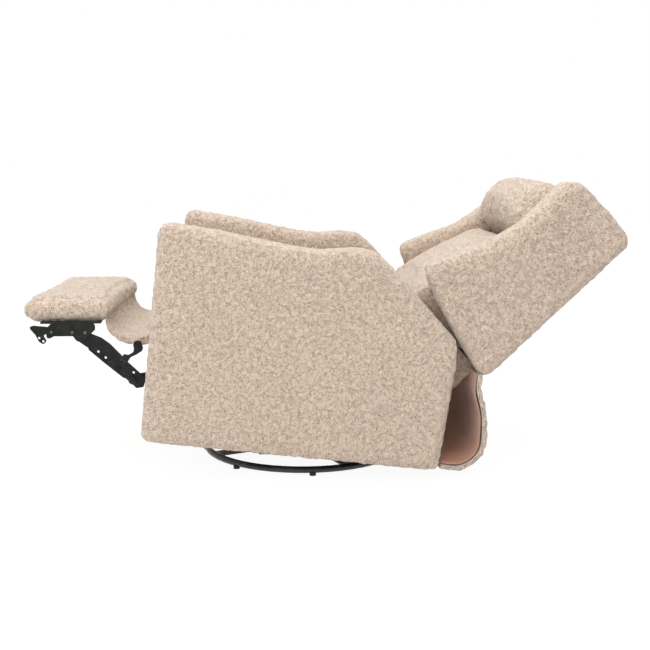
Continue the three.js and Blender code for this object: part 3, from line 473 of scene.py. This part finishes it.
class Finish:
    """A material whose nodes are added one by one and wired as they come."""

    def __init__(self, name):
        self.material = bpy.data.materials.new(name)
        self.material.use_nodes = True
        self.tree = self.material.node_tree
        self.tree.nodes.clear()
        output = self.tree.nodes.new("ShaderNodeOutputMaterial")
        self.shader = self.tree.nodes.new("ShaderNodeBsdfPrincipled")
        self.tree.links.new(self.shader.outputs[0], output.inputs[0])
        self.place = self.tree.nodes.new("ShaderNodeTexCoord").outputs["Object"]

    def node(self, kind, values=(), **settings):
        """Adds a node. Values go to its inputs by number or name, as links or as plain values."""
        made = self.tree.nodes.new(kind)
        for key, value in settings.items():
            setattr(made, key, value)
        for key, value in dict(values).items():
            if isinstance(value, bpy.types.NodeSocket):
                self.tree.links.new(value, made.inputs[key])
            else:
                made.inputs[key].default_value = value
        return made

    def sum(self, operation, *values, clamp=False):
        """One Math node."""
        made = self.node("ShaderNodeMath", enumerate(values), operation=operation, use_clamp=clamp)
        return made.outputs[0]

    def noise(self, at, scale, detail=0.0, roughness=0.5, stretch=None, output="Fac"):
        """Noise of a scale in features per metre. A low stretch draws it out along that axis."""
        if stretch is not None:
            at = self.node("ShaderNodeMapping", {0: at, 3: stretch}).outputs[0]
        values = {"Vector": at, "Scale": scale, "Detail": detail, "Roughness": roughness}
        return self.node("ShaderNodeTexNoise", values).outputs[output]

    def warped(self, at, scale, amount):
        """Moves the coordinates about by noise."""
        drift = self.noise(at, scale, detail=1.0, output="Color")
        middle = (NOISE_MIDDLE,) * 3
        centred = self.node("ShaderNodeVectorMath", {0: drift, 1: middle}, operation="SUBTRACT")
        values = {0: centred.outputs[0], 1: (amount,) * 3, 2: at}
        return self.node("ShaderNodeVectorMath", values, operation="MULTIPLY_ADD").outputs[0]

    def range(self, value, low, high, to_low=0.0, to_high=1.0):
        """Maps low to high smoothly onto to_low to to_high and holds it there."""
        made = self.node(
            "ShaderNodeMapRange", {0: value, 1: low, 2: high, 3: to_low, 4: to_high},
            interpolation_type="SMOOTHSTEP")
        return made.outputs[0]

    def mix(self, share, first, second, blend="MIX"):
        """Mixes two colours by share."""
        first, second = (
            tuple(c) + (1.0,) if not isinstance(c, bpy.types.NodeSocket) else c for c in (first, second))
        made = self.node(
            "ShaderNodeMix", {0: share, 6: first, 7: second}, data_type="RGBA", blend_type=blend)
        return made.outputs[2]

    def bump(self, height, distance, strength=1.0, under=None):
        """A bump, over the one under it."""
        values = {"Height": height, "Distance": distance, "Strength": strength}
        if under is not None:
            values["Normal"] = under
        return self.node("ShaderNodeBump", values).outputs[0]

    def put(self, **inputs):
        """Wires links or sets plain values on the shader's own inputs, with _ for a space."""
        for key, value in inputs.items():
            socket = self.shader.inputs[key.replace("_", " ")]
            if isinstance(value, bpy.types.NodeSocket):
                self.tree.links.new(value, socket)
            else:
                socket.default_value = value
        return self.material


def tinted(colour, share):
    """A colour times a share, up to white."""
    return [min(1.0, share * c) for c in colour]


def pile_finish(name, light, middle, crevice_shade):
    """Curly pile: noise contours make short crooked crevices between rounded curls, under fine fibre; the
    crevices carry painted shade and the raised curl tips a painted highlight.
    """
    f = Finish(name)
    bent = f.warped(f.place, scale=130.0, amount=0.004)
    coarse = f.noise(bent, scale=250.0)
    fine = f.noise(bent, scale=420.0)
    rise = f.sum("ABSOLUTE", f.sum("SUBTRACT", coarse, NOISE_MIDDLE))
    small = f.sum("ABSOLUTE", f.sum("SUBTRACT", fine, NOISE_MIDDLE))
    curl = f.range(rise, low=0.0, high=0.09)
    nub = f.range(small, low=0.0, high=0.1)
    gate = f.range(f.noise(f.place, scale=100.0, detail=1.0), low=0.4, high=0.6)
    split = f.sum("MULTIPLY", f.sum("SUBTRACT", 1.0, nub), gate)
    crease = f.sum("MAXIMUM", f.sum("SUBTRACT", 1.0, curl), split)
    height = f.sum("SUBTRACT", 1.0, crease)
    fibre = f.noise(f.place, scale=900.0, detail=3.0, roughness=0.7)
    broad = f.noise(f.place, scale=9.0, detail=2.0)
    body = f.mix(f.range(broad, low=0.3, high=0.7), tinted(middle, 0.97), tinted(middle, 1.03))
    # Painted highlight: the raised curl tips are paled towards the tip colour
    tips = f.mix(f.range(height, low=0.5, high=1.0, to_high=0.6), body, light)
    # Painted shade: the crevices are darkened towards the crevice colour
    dark = f.range(crease, low=0.3, high=1.0, to_high=0.9)
    colour = f.mix(dark, tips, crevice_shade)
    shade = f.range(fibre, low=0.3, high=0.7, to_low=0.92, to_high=1.06)
    grey = f.node("ShaderNodeCombineColor", {0: shade, 1: shade, 2: shade}).outputs[0]
    colour = f.mix(1.0, colour, grey, blend="MULTIPLY")
    curls = f.bump(height, distance=0.0016, strength=0.7)
    hairs = f.bump(fibre, distance=0.0004, strength=0.5, under=curls)
    return f.put(
        Base_Color=colour, Roughness=0.95, Normal=hairs, Sheen_Weight=0.4, Sheen_Roughness=0.5,
        Specular_IOR_Level=0.15)


def cloth_finish(name, colour, pitch, contrast):
    """Plain woven or felted cloth: two crossed fine grains and broad shading."""
    f = Finish(name)
    warp = f.noise(f.place, scale=1 / pitch, detail=2.0, roughness=0.6, stretch=(0.08, 1.0, 1.0))
    weft = f.noise(f.place, scale=1 / pitch, detail=2.0, roughness=0.6, stretch=(1.0, 0.08, 0.08))
    grain = f.sum("MULTIPLY", f.sum("ADD", warp, weft), 0.5)
    broad = f.noise(f.place, scale=14.0, detail=3.0)
    dark, light = tinted(colour, 1 - contrast), tinted(colour, 1 + contrast)
    mixed = f.mix(f.range(grain, low=0.35, high=0.65), dark, light)
    mixed = f.mix(f.range(broad, low=0.3, high=0.7, to_high=0.35), mixed, light)
    return f.put(
        Base_Color=mixed, Roughness=0.92, Normal=f.bump(grain, distance=0.0006, strength=0.5),
        Sheen_Weight=0.3, Specular_IOR_Level=0.2)


def paint_finish(name, colour, roughness, peel, shine):
    """Black paint: orange peel in the bump, uneven gloss, pale smears, fine scratches and worn edges."""
    f = Finish(name)
    skin = f.noise(f.place, scale=420.0, detail=2.0, roughness=0.55)
    smear = f.noise(f.place, scale=26.0, detail=4.0, roughness=0.6)
    scratch = f.noise(f.place, scale=300.0, detail=3.0, roughness=0.6, stretch=(1.0, 0.06, 1.0))
    edge = f.node("ShaderNodeBevel", {"Radius": 0.0012}, samples=4).outputs[0]
    flat = f.node("ShaderNodeNewGeometry").outputs["True Normal"]
    turned = f.node("ShaderNodeVectorMath", {0: edge, 1: flat}, operation="DOT_PRODUCT").outputs["Value"]
    patchy = f.range(smear, low=0.4, high=0.65)
    worn = f.sum("MULTIPLY", f.range(turned, low=0.995, high=0.9), patchy, clamp=True)
    body = f.mix(f.range(smear, low=0.35, high=0.75), colour, tinted(colour, 2.2))
    body = f.mix(f.sum("MULTIPLY", worn, 0.8), body, (0.2, 0.195, 0.185))
    uneven = f.range(smear, low=0.3, high=0.7, to_low=roughness - 0.05, to_high=roughness + 0.09)
    gloss = f.sum("ADD", uneven, f.range(scratch, low=0.55, high=0.75, to_high=0.08))
    return f.put(
        Base_Color=body, Roughness=gloss, Specular_IOR_Level=shine,
        Normal=f.bump(skin, distance=peel, strength=0.35, under=edge))


def steel_finish(name, colour, roughness, grain):
    """Plated or bare steel: fine drawn grain, cloudy gloss and darker spots."""
    f = Finish(name)
    drawn = f.noise(f.place, scale=700.0, detail=3.0, roughness=0.6, stretch=grain)
    cloud = f.noise(f.place, scale=45.0, detail=4.0, roughness=0.6)
    body = f.mix(f.range(cloud, low=0.35, high=0.7), tinted(colour, 0.8), colour)
    both = f.sum("ADD", drawn, cloud)
    gloss = f.range(both, low=0.8, high=1.2, to_low=roughness - 0.06, to_high=roughness + 0.1)
    return f.put(
        Base_Color=body, Roughness=gloss, Metallic=1.0, Normal=f.bump(drawn, distance=0.0002, strength=0.4))


def wood_finish(name, colour, along):
    """Pine: growth rings cut lengthwise, drawn out along the board, with fine pores."""
    f = Finish(name)
    bent = f.warped(f.place, scale=6.0, amount=0.03)
    ring = f.noise(bent, scale=70.0, detail=2.0, stretch=along)
    band = f.sum("SINE", f.sum("MULTIPLY", ring, 36.0))
    pore = f.noise(f.place, scale=900.0, detail=2.0, roughness=0.6, stretch=along)
    body = f.mix(f.range(band, low=-0.6, high=1.0), colour, tinted(colour, 0.62))
    body = f.mix(f.range(pore, low=0.58, high=0.72, to_high=0.5), body, tinted(colour, 0.4))
    height = f.sum("SUBTRACT", band, pore)
    gloss = f.range(pore, low=0.3, high=0.7, to_low=0.5, to_high=0.68)
    return f.put(Base_Color=body, Roughness=gloss, Normal=f.bump(height, distance=0.0004, strength=0.3))


def moulded_finish(name, colour, roughness, grain):
    """Moulded rubber or plastic: a fine spark grain, with pale scuffs that dull it."""
    f = Finish(name)
    spark = f.noise(f.place, scale=grain, detail=2.0, roughness=0.6)
    scuff = f.noise(f.place, scale=60.0, detail=4.0, roughness=0.6)
    body = f.mix(f.range(scuff, low=0.5, high=0.75), colour, tinted(colour, 2.4))
    gloss = f.range(scuff, low=0.35, high=0.7, to_low=roughness - 0.05, to_high=roughness + 0.1)
    return f.put(Base_Color=body, Roughness=gloss, Normal=f.bump(spark, distance=0.0003, strength=0.35))


def finish_once(name, make, *values, **settings):
    """The material of that name, made at its first use."""
    return bpy.data.materials.get(name) or make(name, *values, **settings)


def pile_material():
    """The chair's curly pile."""
    colours = fabric()
    return finish_once("Curly pile", pile_finish, colours.light, colours.middle, colours.crevice_shade)


def wear(piece, material):
    """Gives a new piece its material."""
    piece.data.materials.clear()
    piece.data.materials.append(material)


def coat(names, material):
    """Gives CAD nodes a material in place of their plain one."""
    for name in names:
        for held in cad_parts[name].material_slots:
            held.material = material


def like(*starts):
    """The CAD nodes whose names begin with any of these words."""
    return [name for name in sorted(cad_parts) if name.startswith(starts)]


def upholster(piece, nodes=()):
    """Gives a padded piece its pile and hides the nodes that it stands for."""
    wear(piece, pile_material())
    if nodes:
        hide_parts(*nodes)


def cover(names, body, pad, crown, voxel=None):
    """Turns soft CAD nodes into swollen, tufted pads. Names are rows of a new piece and its nodes."""
    pieces = [blank(name, nodes, pad.inset, voxel or pile().voxel) for name, *nodes in names]
    swell(pieces, pad.face, pad.side, crown)
    for number, (piece, (_, *nodes)) in enumerate(zip(pieces, names)):
        subdivided(piece)
        tufted(piece, pad.seed + SEED_STEP * number)
        upholster(piece, nodes)
        if body is not None:
            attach(piece, body)
    return pieces


# Pieces


class RECLINER_OT_arms(bpy.types.Operator):
    """Covers both arms in pile, tight over their boards"""

    bl_idname = "recliner.arms"
    bl_label = "Arms"

    def execute(self, context):
        names = [(f"arm_cover_{side}", f"arm_{side}") for side in SIDES]
        cover(names, "seat", ARM_PAD, ACROSS)
        return {"FINISHED"}


class RECLINER_OT_wings(bpy.types.Operator):
    """Covers both wings of the back"""

    bl_idname = "recliner.wings"
    bl_label = "Wings"

    def execute(self, context):
        names = [(f"wing_cover_{side}", f"wing_{side}") for side in SIDES]
        cover(names, "back", WING_PAD, ACROSS)
        return {"FINISHED"}


class RECLINER_OT_outer_back(bpy.types.Operator):
    """Covers the rear of the back"""

    bl_idname = "recliner.outer_back"
    bl_label = "Outer back"

    def execute(self, context):
        cover([("outer_back_cover", "outer_back")], "back", OUTER_BACK_PAD, BACK_OUT)
        return {"FINISHED"}


class RECLINER_OT_seat_cushion(bpy.types.Operator):
    """Makes the crowned seat cushion"""

    bl_idname = "recliner.seat_cushion"
    bl_label = "Seat cushion"

    def execute(self, context):
        cover([("seat_pad", "seat_cushion")], "seat", SEAT_PAD, LEAN_UP)
        return {"FINISHED"}


class RECLINER_OT_back_cushion(bpy.types.Operator):
    """Makes the back cushion between the wings"""

    bl_idname = "recliner.back_cushion"
    bl_label = "Back cushion"

    def execute(self, context):
        cover([("back_pad", "back_cushion")], "back", BACK_PAD, BACK_OUT)
        return {"FINISHED"}


class RECLINER_OT_headrest(bpy.types.Operator):
    """Makes the round roll of the headrest"""

    bl_idname = "recliner.headrest"
    bl_label = "Headrest"

    def execute(self, context):
        cover([("headrest_roll", "headrest")], "back", HEADREST_PAD, BACK_OUT)
        return {"FINISHED"}


class RECLINER_OT_lower_back(bpy.types.Operator):
    """Covers the lower end of the back, seen between arm and wing"""

    bl_idname = "recliner.lower_back"
    bl_label = "Lower back"

    def execute(self, context):
        cover([("lower_back_cover", "lower_back")], "back", LOWER_BACK_PAD, BACK_OUT)
        return {"FINISHED"}


class RECLINER_OT_back_end(bpy.types.Operator):
    """Wraps the lower end of the back's frame, seen between arm, wing and skirt"""

    bl_idname = "recliner.back_end"
    bl_label = "Back's lower end"

    def execute(self, context):
        section = np.array([leaned(*on_back(up, forward)) for up, forward in BACK_END])
        ends = [np.column_stack([np.full(len(section), x), section])
                for x in (-BACK_END_HALF_WIDTH, BACK_END_HALF_WIDTH)]
        wrap = surface("back_end_wrap", np.array(ends), False, True)
        close(wrap)
        evened(wrap, BACK_END_VOXEL)
        rounded(wrap, BACK_END_PASSES)
        tufted(wrap, BACK_END_SEED, BACK_END_TUFT_SHARE)
        upholster(wrap)
        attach(wrap, "back")
        return {"FINISHED"}


class RECLINER_OT_footrest(bpy.types.Operator):
    """Makes the footrest's pad"""

    bl_idname = "recliner.footrest"
    bl_label = "Footrest"

    def execute(self, context):
        names = [("footrest_cover", "footrest_pad", "footrest_board")]
        cover(names, "footrest", FOOTREST_PAD, UP)
        return {"FINISHED"}


class RECLINER_OT_bridging_pad(bpy.types.Operator):
    """Makes the pad that bridges the seat and the footrest"""

    bl_idname = "recliner.bridging_pad"
    bl_label = "Bridging pad"

    def execute(self, context):
        pad = cover([("bridging_cover", "bridging_pad")], None, BRIDGING_PAD, UP, BRIDGE_VOXEL)[0]
        low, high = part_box("bridging_pad")
        at = points_of(pad)
        at[:, 1] -= BRIDGE_STRETCH * np.clip((high.y - at[:, 1]) / (high.y - low.y), 0.0, 1.0)
        put_points(pad, at)
        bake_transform(pad)
        return {"FINISHED"}


def skirt_line(steps):
    """Carries a Catmull-Rom curve through the skirt's points.

    Returns points at even distances along it, the ways out of the skirt at them, and the curve's length.
    """
    half = SKIRT_THICKNESS / 2
    drop = ARM_BOTTOM - BACK_CORNER[1]
    knots = [on_back(0.0, SKIRT_SEAM + half)]
    knots += [
        (ARM_REAR + out * SKIRT_BULGE - half, BACK_CORNER[1] + down * drop) for down, out in SKIRT_SHARES
    ]
    knots = np.array(knots + [(SKIRT_TACK_DEPTH, BACK_CORNER[1] + SKIRT_TACK_SHARE * drop)])
    padded = np.vstack([2 * knots[0] - knots[1], knots, 2 * knots[-1] - knots[-2]])
    share = np.linspace(0, len(knots) - 1 - SKIRT_END_GAP, SKIRT_STEPS_PER_POINT * len(knots))
    i = share.astype(int)
    t = (share - i)[:, None]
    a, b, c, d = padded[i], padded[i + 1], padded[i + 2], padded[i + 3]
    fine = 0.5 * (2 * b + (c - a) * t + (2 * a - 5 * b + 4 * c - d) * t**2 + (3 * b - a - 3 * c + d) * t**3)
    length = np.concatenate([[0], np.cumsum(np.linalg.norm(np.diff(fine, axis=0), axis=1))])
    even = np.linspace(0, length[-1], steps)
    line = np.stack([np.interp(even, length, fine[:, k]) for k in range(2)], axis=1)
    way = np.gradient(line, axis=0)
    way /= np.linalg.norm(way, axis=1)[:, None]
    return line, np.stack([-way[:, 1], way[:, 0]], axis=1), length[-1]


def skirt_layer(name, shares, half_width, steps, columns, ripple=0.0):
    """Sweeps a thin closed slab along the skirt's line and across the chair's width.

    Shares of half the skirt's thickness give its inner and outer distance from the line. A row of the grid
    goes out along the outer face and back along the inner one. Ripple is how far the faces wander, as waves
    that die out at the two sewn ends.
    """
    inner, outer = (share * SKIRT_THICKNESS / 2 for share in shares)
    line, out, length = skirt_line(steps)
    across = np.linspace(-half_width, half_width, columns)
    along = np.linspace(0, 1, steps)
    held = np.sin(math.pi * along) ** 0.5
    flat = np.stack(np.meshgrid(across, along * length, indexing="ij"), axis=-1)
    flat = np.concatenate([flat, np.zeros(flat.shape[:2] + (1,))], axis=-1)
    lumps = waves(flat.reshape(-1, 3), RIPPLE_PITCH, RIPPLE_SEED).reshape(columns, steps)
    wander = ripple * held * lumps
    loops = []
    for offset, order in ((outer, slice(None)), (inner, slice(None, None, -1))):
        face = line + out * offset
        depth, height = face[:, 0] + wander * out[:, 0], face[:, 1] + wander * out[:, 1]
        level, above = leaned(depth, height)
        side = np.broadcast_to(across[:, None], level.shape)
        loops.append(np.stack([side, level, above], axis=-1)[:, order])
    piece = surface(name, np.concatenate(loops, axis=1), False, True)
    close(piece)
    return piece, length


class RECLINER_OT_skirt(bpy.types.Operator):
    """Makes the rear skirt of pile, felt and lining"""

    bl_idname = "recliner.skirt"
    bl_label = "Rear skirt"

    def execute(self, context):
        pile_layer, _ = skirt_layer(
            "skirt_pile", SKIRT_PILE_SHARES, SKIRT_HALF_WIDTH, steps=90, columns=150)
        evened(pile_layer, SKIRT_VOXEL)
        tufted(pile_layer, SKIRT_SEED, SKIRT_TUFT_SHARE)
        upholster(pile_layer, ["rear_skirt"])

        felt, _ = skirt_layer(
            "skirt_felt", SKIRT_FELT_SHARES, SKIRT_HALF_WIDTH - FELT_HEM, steps=90, columns=40)
        wear(felt, finish_once("Felt", cloth_finish, fabric().interlining, pitch=0.0009, contrast=0.08))

        half_width = SKIRT_HALF_WIDTH - LINING_HEM
        lining, length = skirt_layer(
            "skirt_lining", SKIRT_LINING_SHARES, half_width, steps=120, columns=160, ripple=LINING_RIPPLE)
        wear(lining, finish_once("Lining", cloth_finish, fabric().lining, pitch=0.0007, contrast=0.22))

        for layer in (pile_layer, felt, lining):
            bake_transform(layer)
        return {"FINISHED"}


class RECLINER_OT_mechanism(bpy.types.Operator):
    """Finishes the linkage, the seat's side plates, the base and the swivel"""

    bl_idname = "recliner.mechanism"
    bl_label = "Mechanism"

    def execute(self, context):
        paint = framing().paint
        gloss = finish_once(
            "Gloss black paint", paint_finish, paint, roughness=0.24, peel=0.0004, shine=0.5)
        satin = finish_once(
            "Satin black paint", paint_finish, paint, roughness=0.36, peel=0.0006, shine=0.18)
        steel = finish_once(
            "Zinc steel", steel_finish, framing().steel, roughness=0.34, grain=(1.0, 0.05, 1.0))
        coat(like("base_ring", "base_cross"), gloss)
        coat(like("leg_", "footrest_angle", "side_plate", "glide_", "turntable"), satin)
        coat(like("back_pivot", "back_bracket"), satin)
        coat(like("seat_springs", "king_pin", "swivel_lower_race"), steel)
        return {"FINISHED"}


def rivet_heads(name, side):
    """Makes shallow domes on a face across X, as a quarter turn of an ellipse carried round each place."""
    turn, lift = np.meshgrid(
        np.linspace(0, 2 * math.pi, RIVET_ROUND_STEPS, endpoint=False),
        np.linspace(0, math.pi / 2, RIVET_UP_STEPS), indexing="ij")
    ring = RIVET_RADIUS * np.cos(lift)
    out = side * (RIVET_FACE + RIVET_RISE * np.sin(lift))
    parts = []
    for depth, height in RIVETS:
        points = np.stack([out, depth + ring * np.cos(turn), height + ring * np.sin(turn)], axis=-1)
        parts.append(surface(name, points, True, False))
    work = bmesh.new()
    for part in parts:
        work.from_mesh(part.data)
        bpy.data.meshes.remove(part.data)
    bmesh.ops.remove_doubles(work, verts=work.verts, dist=WELD)
    mesh = bpy.data.meshes.new(name)
    work.to_mesh(mesh)
    work.free()
    heads = new_piece(name, mesh)
    close(heads)
    return heads


class RECLINER_OT_rivets(bpy.types.Operator):
    """Sets rivet heads on the footrest's angles"""

    bl_idname = "recliner.rivets"
    bl_label = "Rivets"

    def execute(self, context):
        worn = finish_once(
            "Worn black paint", paint_finish, tinted(framing().paint, RIVET_TINT), roughness=0.4,
            peel=0.0002, shine=0.5)
        for side, sign in zip(SIDES, (1, -1)):
            heads = rivet_heads(f"footrest_rivets_{side}", sign)
            wear(heads, worn)
            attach(heads, "footrest")
        return {"FINISHED"}


class RECLINER_OT_wood(bpy.types.Operator):
    """Finishes the wooden frame"""

    bl_idname = "recliner.wood"
    bl_label = "Wooden frame"

    def execute(self, context):
        colour = framing().wood
        lengthwise = finish_once("Pine lengthwise", wood_finish, colour, along=(1.0, 0.08, 1.0))
        crosswise = finish_once("Pine crosswise", wood_finish, colour, along=(0.08, 1.0, 1.0))
        coat(like("seat_rail_left", "seat_rail_right", "arm_board", "back_post"), lengthwise)
        coat(like("seat_rail_front", "seat_rail_rear", "rear_stretcher", "back_rail"), crosswise)
        return {"FINISHED"}


class RECLINER_OT_fittings(bpy.types.Operator):
    """Finishes the feet and the release handle"""

    bl_idname = "recliner.fittings"
    bl_label = "Feet and handle"

    def execute(self, context):
        rubber = finish_once("Rubber", moulded_finish, framing().rubber, roughness=0.75, grain=500.0)
        plastic = finish_once(
            "Grained plastic", moulded_finish, framing().plastic, roughness=0.48, grain=1400.0)
        coat(like("foot_"), rubber)
        coat(like("handle_cup", "release_paddle"), plastic)
        return {"FINISHED"}


# Stage


def stage_finish(name, colour):
    """A pale floor that shows the camera and reflections a white ground, with the chair's soft shadow."""
    f = Finish(name)
    f.put(Base_Color=tuple(colour) + (1.0,), Roughness=0.9, Specular_IOR_Level=0.1)
    path = f.node("ShaderNodeLightPath").outputs
    seen = f.sum("MAXIMUM", path["Is Camera Ray"],
                 f.sum("MAXIMUM", path["Is Glossy Ray"], path["Is Transmission Ray"]))
    glow = f.node("ShaderNodeEmission", {0: WHITE, 1: FLOOR_GLOW}).outputs[0]
    share = f.sum("MULTIPLY", seen, FLOOR_GLOW_SHARE)
    blend = f.node("ShaderNodeMixShader", {0: share, 1: f.shader.outputs[0], 2: glow})
    output = next(node for node in f.tree.nodes if node.type == "OUTPUT_MATERIAL")
    f.tree.links.new(blend.outputs[0], output.inputs[0])
    return f.material


def soft_light(name, place, size, power):
    """A square area light that looks at the chair."""
    lamp = bpy.data.lights.new(name, "AREA")
    lamp.shape = "SQUARE"
    lamp.size = size
    lamp.energy = power
    held = bpy.data.objects.new(name, lamp)
    held.location = place
    held.rotation_euler = (Vector(LIGHT_TARGET) - Vector(place)).to_track_quat("-Z", "Y").to_euler()
    bpy.context.scene.collection.objects.link(held)


class RECLINER_OT_stage(bpy.types.Operator):
    """Makes the floor, the lights, the world and the camera"""

    bl_idname = "recliner.stage"
    bl_label = "Stage"

    def execute(self, context):
        scene = context.scene
        size = scene.recliner_stage

        sides = np.linspace(-FLOOR_REACH, FLOOR_REACH, FLOOR_POINTS)
        x, y = np.meshgrid(sides, sides, indexing="ij")
        floor = surface("floor", np.stack([x, y, np.zeros_like(x)], axis=-1), False, False)
        wear(floor, stage_finish("Pale floor", FLOOR_COLOUR))

        soft_light("top_light", TOP_LIGHT_PLACE, TOP_LIGHT_SIZE, size.key_power)
        soft_light("side_light", SIDE_LIGHT_PLACE, SIDE_LIGHT_SIZE, size.fill_power)

        world = bpy.data.worlds.new("Even light")
        scene.world = world
        world.use_nodes = True
        tree = world.node_tree
        background = tree.nodes["Background"]
        path = tree.nodes.new("ShaderNodeLightPath")
        white = tree.nodes.new("ShaderNodeMath")
        white.operation = "MAXIMUM"
        tree.links.new(path.outputs["Is Camera Ray"], white.inputs[0])
        tree.links.new(path.outputs["Is Transmission Ray"], white.inputs[1])
        strength = tree.nodes.new("ShaderNodeMapRange")
        strength.inputs["To Min"].default_value = size.sky
        strength.inputs["To Max"].default_value = 1.0
        tree.links.new(white.outputs[0], strength.inputs["Value"])
        tree.links.new(strength.outputs[0], background.inputs["Strength"])
        background.inputs["Color"].default_value = WHITE
        scene.view_settings.view_transform = "Standard"

        lens = bpy.data.cameras.new("camera")
        lens.sensor_width = SENSOR_WIDTH
        lens.sensor_fit = "HORIZONTAL"
        lens.lens = size.focal
        lens.clip_end = CLIP_END
        camera = bpy.data.objects.new("camera", lens)
        forward = Vector((
            -math.cos(size.yaw) * math.cos(size.pitch),
            math.sin(size.yaw) * math.cos(size.pitch),
            -math.sin(size.pitch),
        ))
        turn = Quaternion(forward, size.roll) @ forward.to_track_quat("-Z", "Y")
        camera.location = size.eye
        camera.rotation_euler = turn.to_euler()
        scene.collection.objects.link(camera)
        scene.camera = camera
        return {"FINISHED"}


PIECE_OPERATORS = (
    RECLINER_OT_arms,
    RECLINER_OT_wings,
    RECLINER_OT_outer_back,
    RECLINER_OT_seat_cushion,
    RECLINER_OT_back_cushion,
    RECLINER_OT_headrest,
    RECLINER_OT_lower_back,
    RECLINER_OT_back_end,
    RECLINER_OT_footrest,
    RECLINER_OT_bridging_pad,
    RECLINER_OT_skirt,
    RECLINER_OT_mechanism,
    RECLINER_OT_rivets,
    RECLINER_OT_wood,
    RECLINER_OT_fittings,
    RECLINER_OT_stage,
)


class RECLINER_PT_panel(bpy.types.Panel):
    """Lists the recliner's settings and pieces in the sidebar"""

    bl_label = "Recliner"
    bl_space_type = "VIEW_3D"
    bl_region_type = "UI"
    bl_category = "Recliner"

    def draw(self, context):
        for group in SETTINGS:
            box = self.layout.box()
            held = getattr(context.scene, group)
            for name in SETTINGS[group].__annotations__:
                box.prop(held, name)
        column = self.layout.column(align=True)
        for operator in PIECE_OPERATORS:
            column.operator(operator.bl_idname)


SETTINGS = {
    "recliner_pile": PileSizes,
    "recliner_fabric": FabricColours,
    "recliner_frame": FrameColours,
    "recliner_stage": StageSizes,
}


def register():
    """Makes the settings, operators and panel known to Blender."""
    for group, kind in SETTINGS.items():
        bpy.utils.register_class(kind)
        setattr(bpy.types.Scene, group, bpy.props.PointerProperty(type=kind))
    for kind in (*PIECE_OPERATORS, RECLINER_PT_panel):
        bpy.utils.register_class(kind)


def unregister():
    """Takes them away again."""
    for kind in (RECLINER_PT_panel, *reversed(PIECE_OPERATORS)):
        bpy.utils.unregister_class(kind)
    for group, kind in reversed(SETTINGS.items()):
        delattr(bpy.types.Scene, group)
        bpy.utils.unregister_class(kind)


def main():
    """Builds every piece in order."""
    register()
    for operator in PIECE_OPERATORS:
        group, name = operator.bl_idname.split(".")
        getattr(getattr(bpy.ops, group), name)()


if __name__ == "__main__":
    main()
